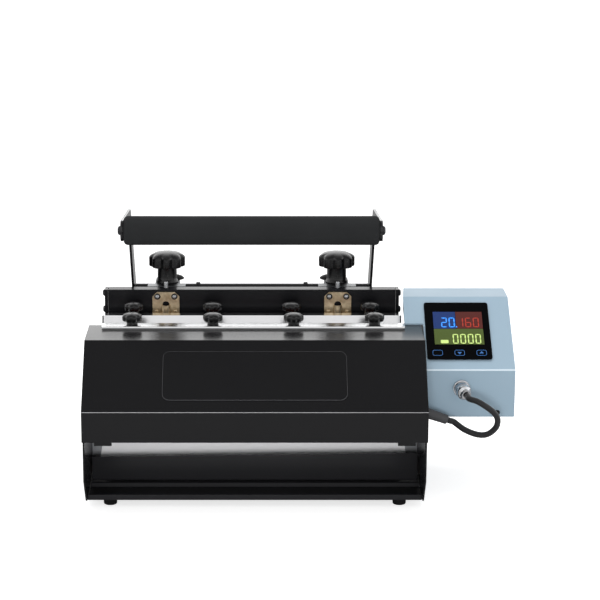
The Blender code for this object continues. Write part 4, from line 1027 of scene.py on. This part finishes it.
# %% Backlit films
def backlit(name, colour, strength):
    """A backlit film: its colour glows a little, and faint cells of the display, 0.9 mm wide, show in it."""
    cell = 0.9
    made, output = new_material(name)
    place = add(made, "TexCoord")
    cells = add(made, "TexVoronoi", {"Scale": 1000 / cell}, Vector=place.outputs["Object"])
    level = add(made, "MapRange", {"To Min": 0.9, "To Max": 1.0}, Value=cells.outputs["Distance"])
    tint = add(made, "MixRGB", {"blend_type": "MULTIPLY", "Fac": 1.0, "Color1": linear(colour)},
               Color2=level.outputs[0])
    surface = add(made, "BsdfPrincipled", {"Roughness": 0.25, "Emission Strength": strength},
                  Base_Color=tint.outputs[0], Emission_Color=tint.outputs[0])
    made.node_tree.links.new(output.inputs["Surface"], surface.outputs[0])
    return made


film = {
    "blue_field": backlit("backlit_blue_field", "#0F2A5E", 0.28),
    "red_field": backlit("backlit_red_field", "#481A15", 0.30),
    "green_field": backlit("backlit_green_field", "#404E1E", 0.28),
    "blue_figures": backlit("backlit_blue_figures", "#2E86E8", 0.50),
    "red_figures": backlit("backlit_red_figures", "#96291A", 0.35),
    "green_figures": backlit("backlit_green_figures", "#B4CC74", 0.40),
    "key_print": backlit("blue_key_print", "#2C5F9A", 0.25),
}
print(len(film), "films; the slope leans", round(math.degrees(lean), 1), "degrees")

# %% The three fields
# Each field's name, its left and lower edge on the glass, its width and its height, in mm.
fields = (("blue_field", 0.4, 24.4, 26.2, 25.7), ("red_field", 27.0, 24.4, 31.1, 25.7),
          ("green_field", 0.4, 0.4, 57.7, 23.6))
for name, u, v, width, height in fields:
    on_slope(rounded_plate(width, height), glass_left + u + width / 2, glass_low + v + height / 2, glass_top,
             name, film[name])

# %% Seven-segment figures
# Where a segment's middle lies, in figure widths across and half heights up, and its turn in degrees.
segment_spots = {"a": (0, 1, 0), "b": (0.5, 0.5, 90), "c": (0.5, -0.5, 90), "d": (0, -1, 0),
                 "e": (-0.5, -0.5, 90), "f": (-0.5, 0.5, 90), "g": (0, 0, 0)}
lit = {"0": "abcdef", "1": "bc", "2": "abged", "6": "afgedc"}


def one_segment(length, width):
    """A flat hexagon pulled apart at its middle: pointed ends, so that neighbours meet at a mitre."""
    clear_selection()
    bpy.ops.mesh.primitive_circle_add(vertices=6, radius=width / math.sqrt(3) * millimetre, fill_type="NGON")
    segment = bpy.context.object
    bpy.ops.object.mode_set(mode="EDIT")
    for sign in (-1, 1):
        bpy.ops.mesh.select_all(action="DESELECT")
        bpy.ops.object.mode_set(mode="OBJECT")
        for vertex in segment.data.vertices:
            vertex.select = vertex.co.x * sign > 0.0001 * millimetre
        bpy.ops.object.mode_set(mode="EDIT")
        bpy.ops.transform.translate(value=(sign * (length - width) / 2 * millimetre, 0, 0))
    bpy.ops.mesh.select_all(action="SELECT")
    bpy.ops.mesh.extrude_region_move(TRANSFORM_OT_translate={"value": (0, 0, film_thick * millimetre)})
    bpy.ops.object.mode_set(mode="OBJECT")
    return segment


def figures(text, name, u, v, height, width, pitch, stroke, material, dot=False):
    """A row of figures whose first one's middle is at (u, v), joined as one piece."""
    arm = height / 2 - stroke * 0.15
    side = width - stroke
    pattern = one_segment(arm - stroke * 0.25, stroke)
    bars = []
    for place, figure in enumerate(text):
        for key in lit[figure]:
            across, up, turn = segment_spots[key]
            bar = copy_of(pattern)
            bar.location = Vector((place * pitch + across * side, up * arm, 0)) * millimetre
            bar.rotation_euler = (0, 0, math.radians(turn))
            bar.scale = (1 if turn else side / arm, 1, 1)
            bars.append(bar)
    if dot:
        point = rounded_plate(stroke * 1.1, stroke * 1.1, stroke * 0.3)
        point.location = Vector(((len(text) - 1) * pitch + width / 2 + stroke, -arm, 0)) * millimetre
        bars.append(point)
    bpy.data.objects.remove(pattern)
    clear_selection()
    for bar in bars:
        bar.select_set(True)
    bpy.context.view_layer.objects.active = bars[0]
    bpy.ops.object.join()
    row = bpy.context.object
    select_only(row)
    bpy.ops.object.transform_apply(location=True, rotation=True, scale=True)
    on_slope(row, glass_left + u, glass_low + v, glass_top + figure_lift, name, material)


figure_lift = 0.06
figures("20", "time_figures", 13.0, 33.8, 14.0, 7.2, 9.0, 1.5, film["blue_figures"], dot=True)
figures("160", "heat_figures", 32.0, 33.8, 13.6, 7.0, 9.2, 1.3, film["red_figures"])
figures("0000", "count_figures", 25.0, 8.8, 13.6, 6.6, 8.8, 1.4, film["green_figures"])
on_slope(rounded_plate(9.0, 5.0, 1.2), glass_left + 12.0, glass_low + 4.6, glass_top + figure_lift,
         "count_lamp", film["green_figures"])
print("three rows of figures")

# %% Touch keys
key_height = 8.8
for number, u in enumerate((12.3, 37.8, 63.3), 1):
    on_slope(rounded_plate(11.8, 8.4, 2.6, ring=0.55), u, key_height, glass_top, f"touch_key_{number}",
             film["key_print"])
    if number > 1:
        clear_selection()
        bpy.ops.mesh.primitive_circle_add(vertices=3, radius=2.6 * millimetre, fill_type="NGON")
        arrow = bpy.context.object
        bpy.ops.object.mode_set(mode="EDIT")
        bpy.ops.transform.resize(value=(1.15, 0.85, 1))
        bpy.ops.mesh.extrude_region_move(TRANSFORM_OT_translate={"value": (0, 0, film_thick * millimetre)})
        bpy.ops.object.mode_set(mode="OBJECT")
        arrow.rotation_euler = (0, 0, math.radians(180 if number == 2 else 0))
        bpy.ops.object.transform_apply(location=True, rotation=True, scale=True)
        on_slope(arrow, u, key_height, glass_top, f"key_arrow_{number}", film["key_print"])
print("controller front drawn")

# %% [markdown]
# ## Fasteners at the back and on the box
#
# The box's back plate and the rear panel are held by pan-head screws, and one small black plug closes a hole
# low on the box's front.

# %% Rear screws and the box's plug
backward = (0, 1, 0)
for number, (x, z) in enumerate(((205, 103), (294, 103), (205, 209), (294, 209)), 1):
    screw(f"back_plate_screw_{number}", ("cross", 2.4), at(x, 216.3, z), backward, "frame", bright_zinc)
for number, (x, z) in enumerate(((-182, 20), (182, 20), (-182, 98), (182, 98)), 1):
    screw(f"rear_panel_screw_{number}", ("cross", 3.0), at(x, 300, z), backward, "frame", black_oxide)
box_plug = turned([(0.0026, 0), (0.0031, 0.0003), (0.0032, 0.0010), (0.0028, 0.0018), (0.0018, 0.0023),
                   (0.0005, 0.0025)], sides=32)
aimed(box_plug, at(281, 77.1, 100.8), forward)
finished(box_plug, "box_hole_plug", "frame", foot_rubber)

for pattern in patterns.values():
    bpy.data.objects.remove(pattern)
print("all screws placed")
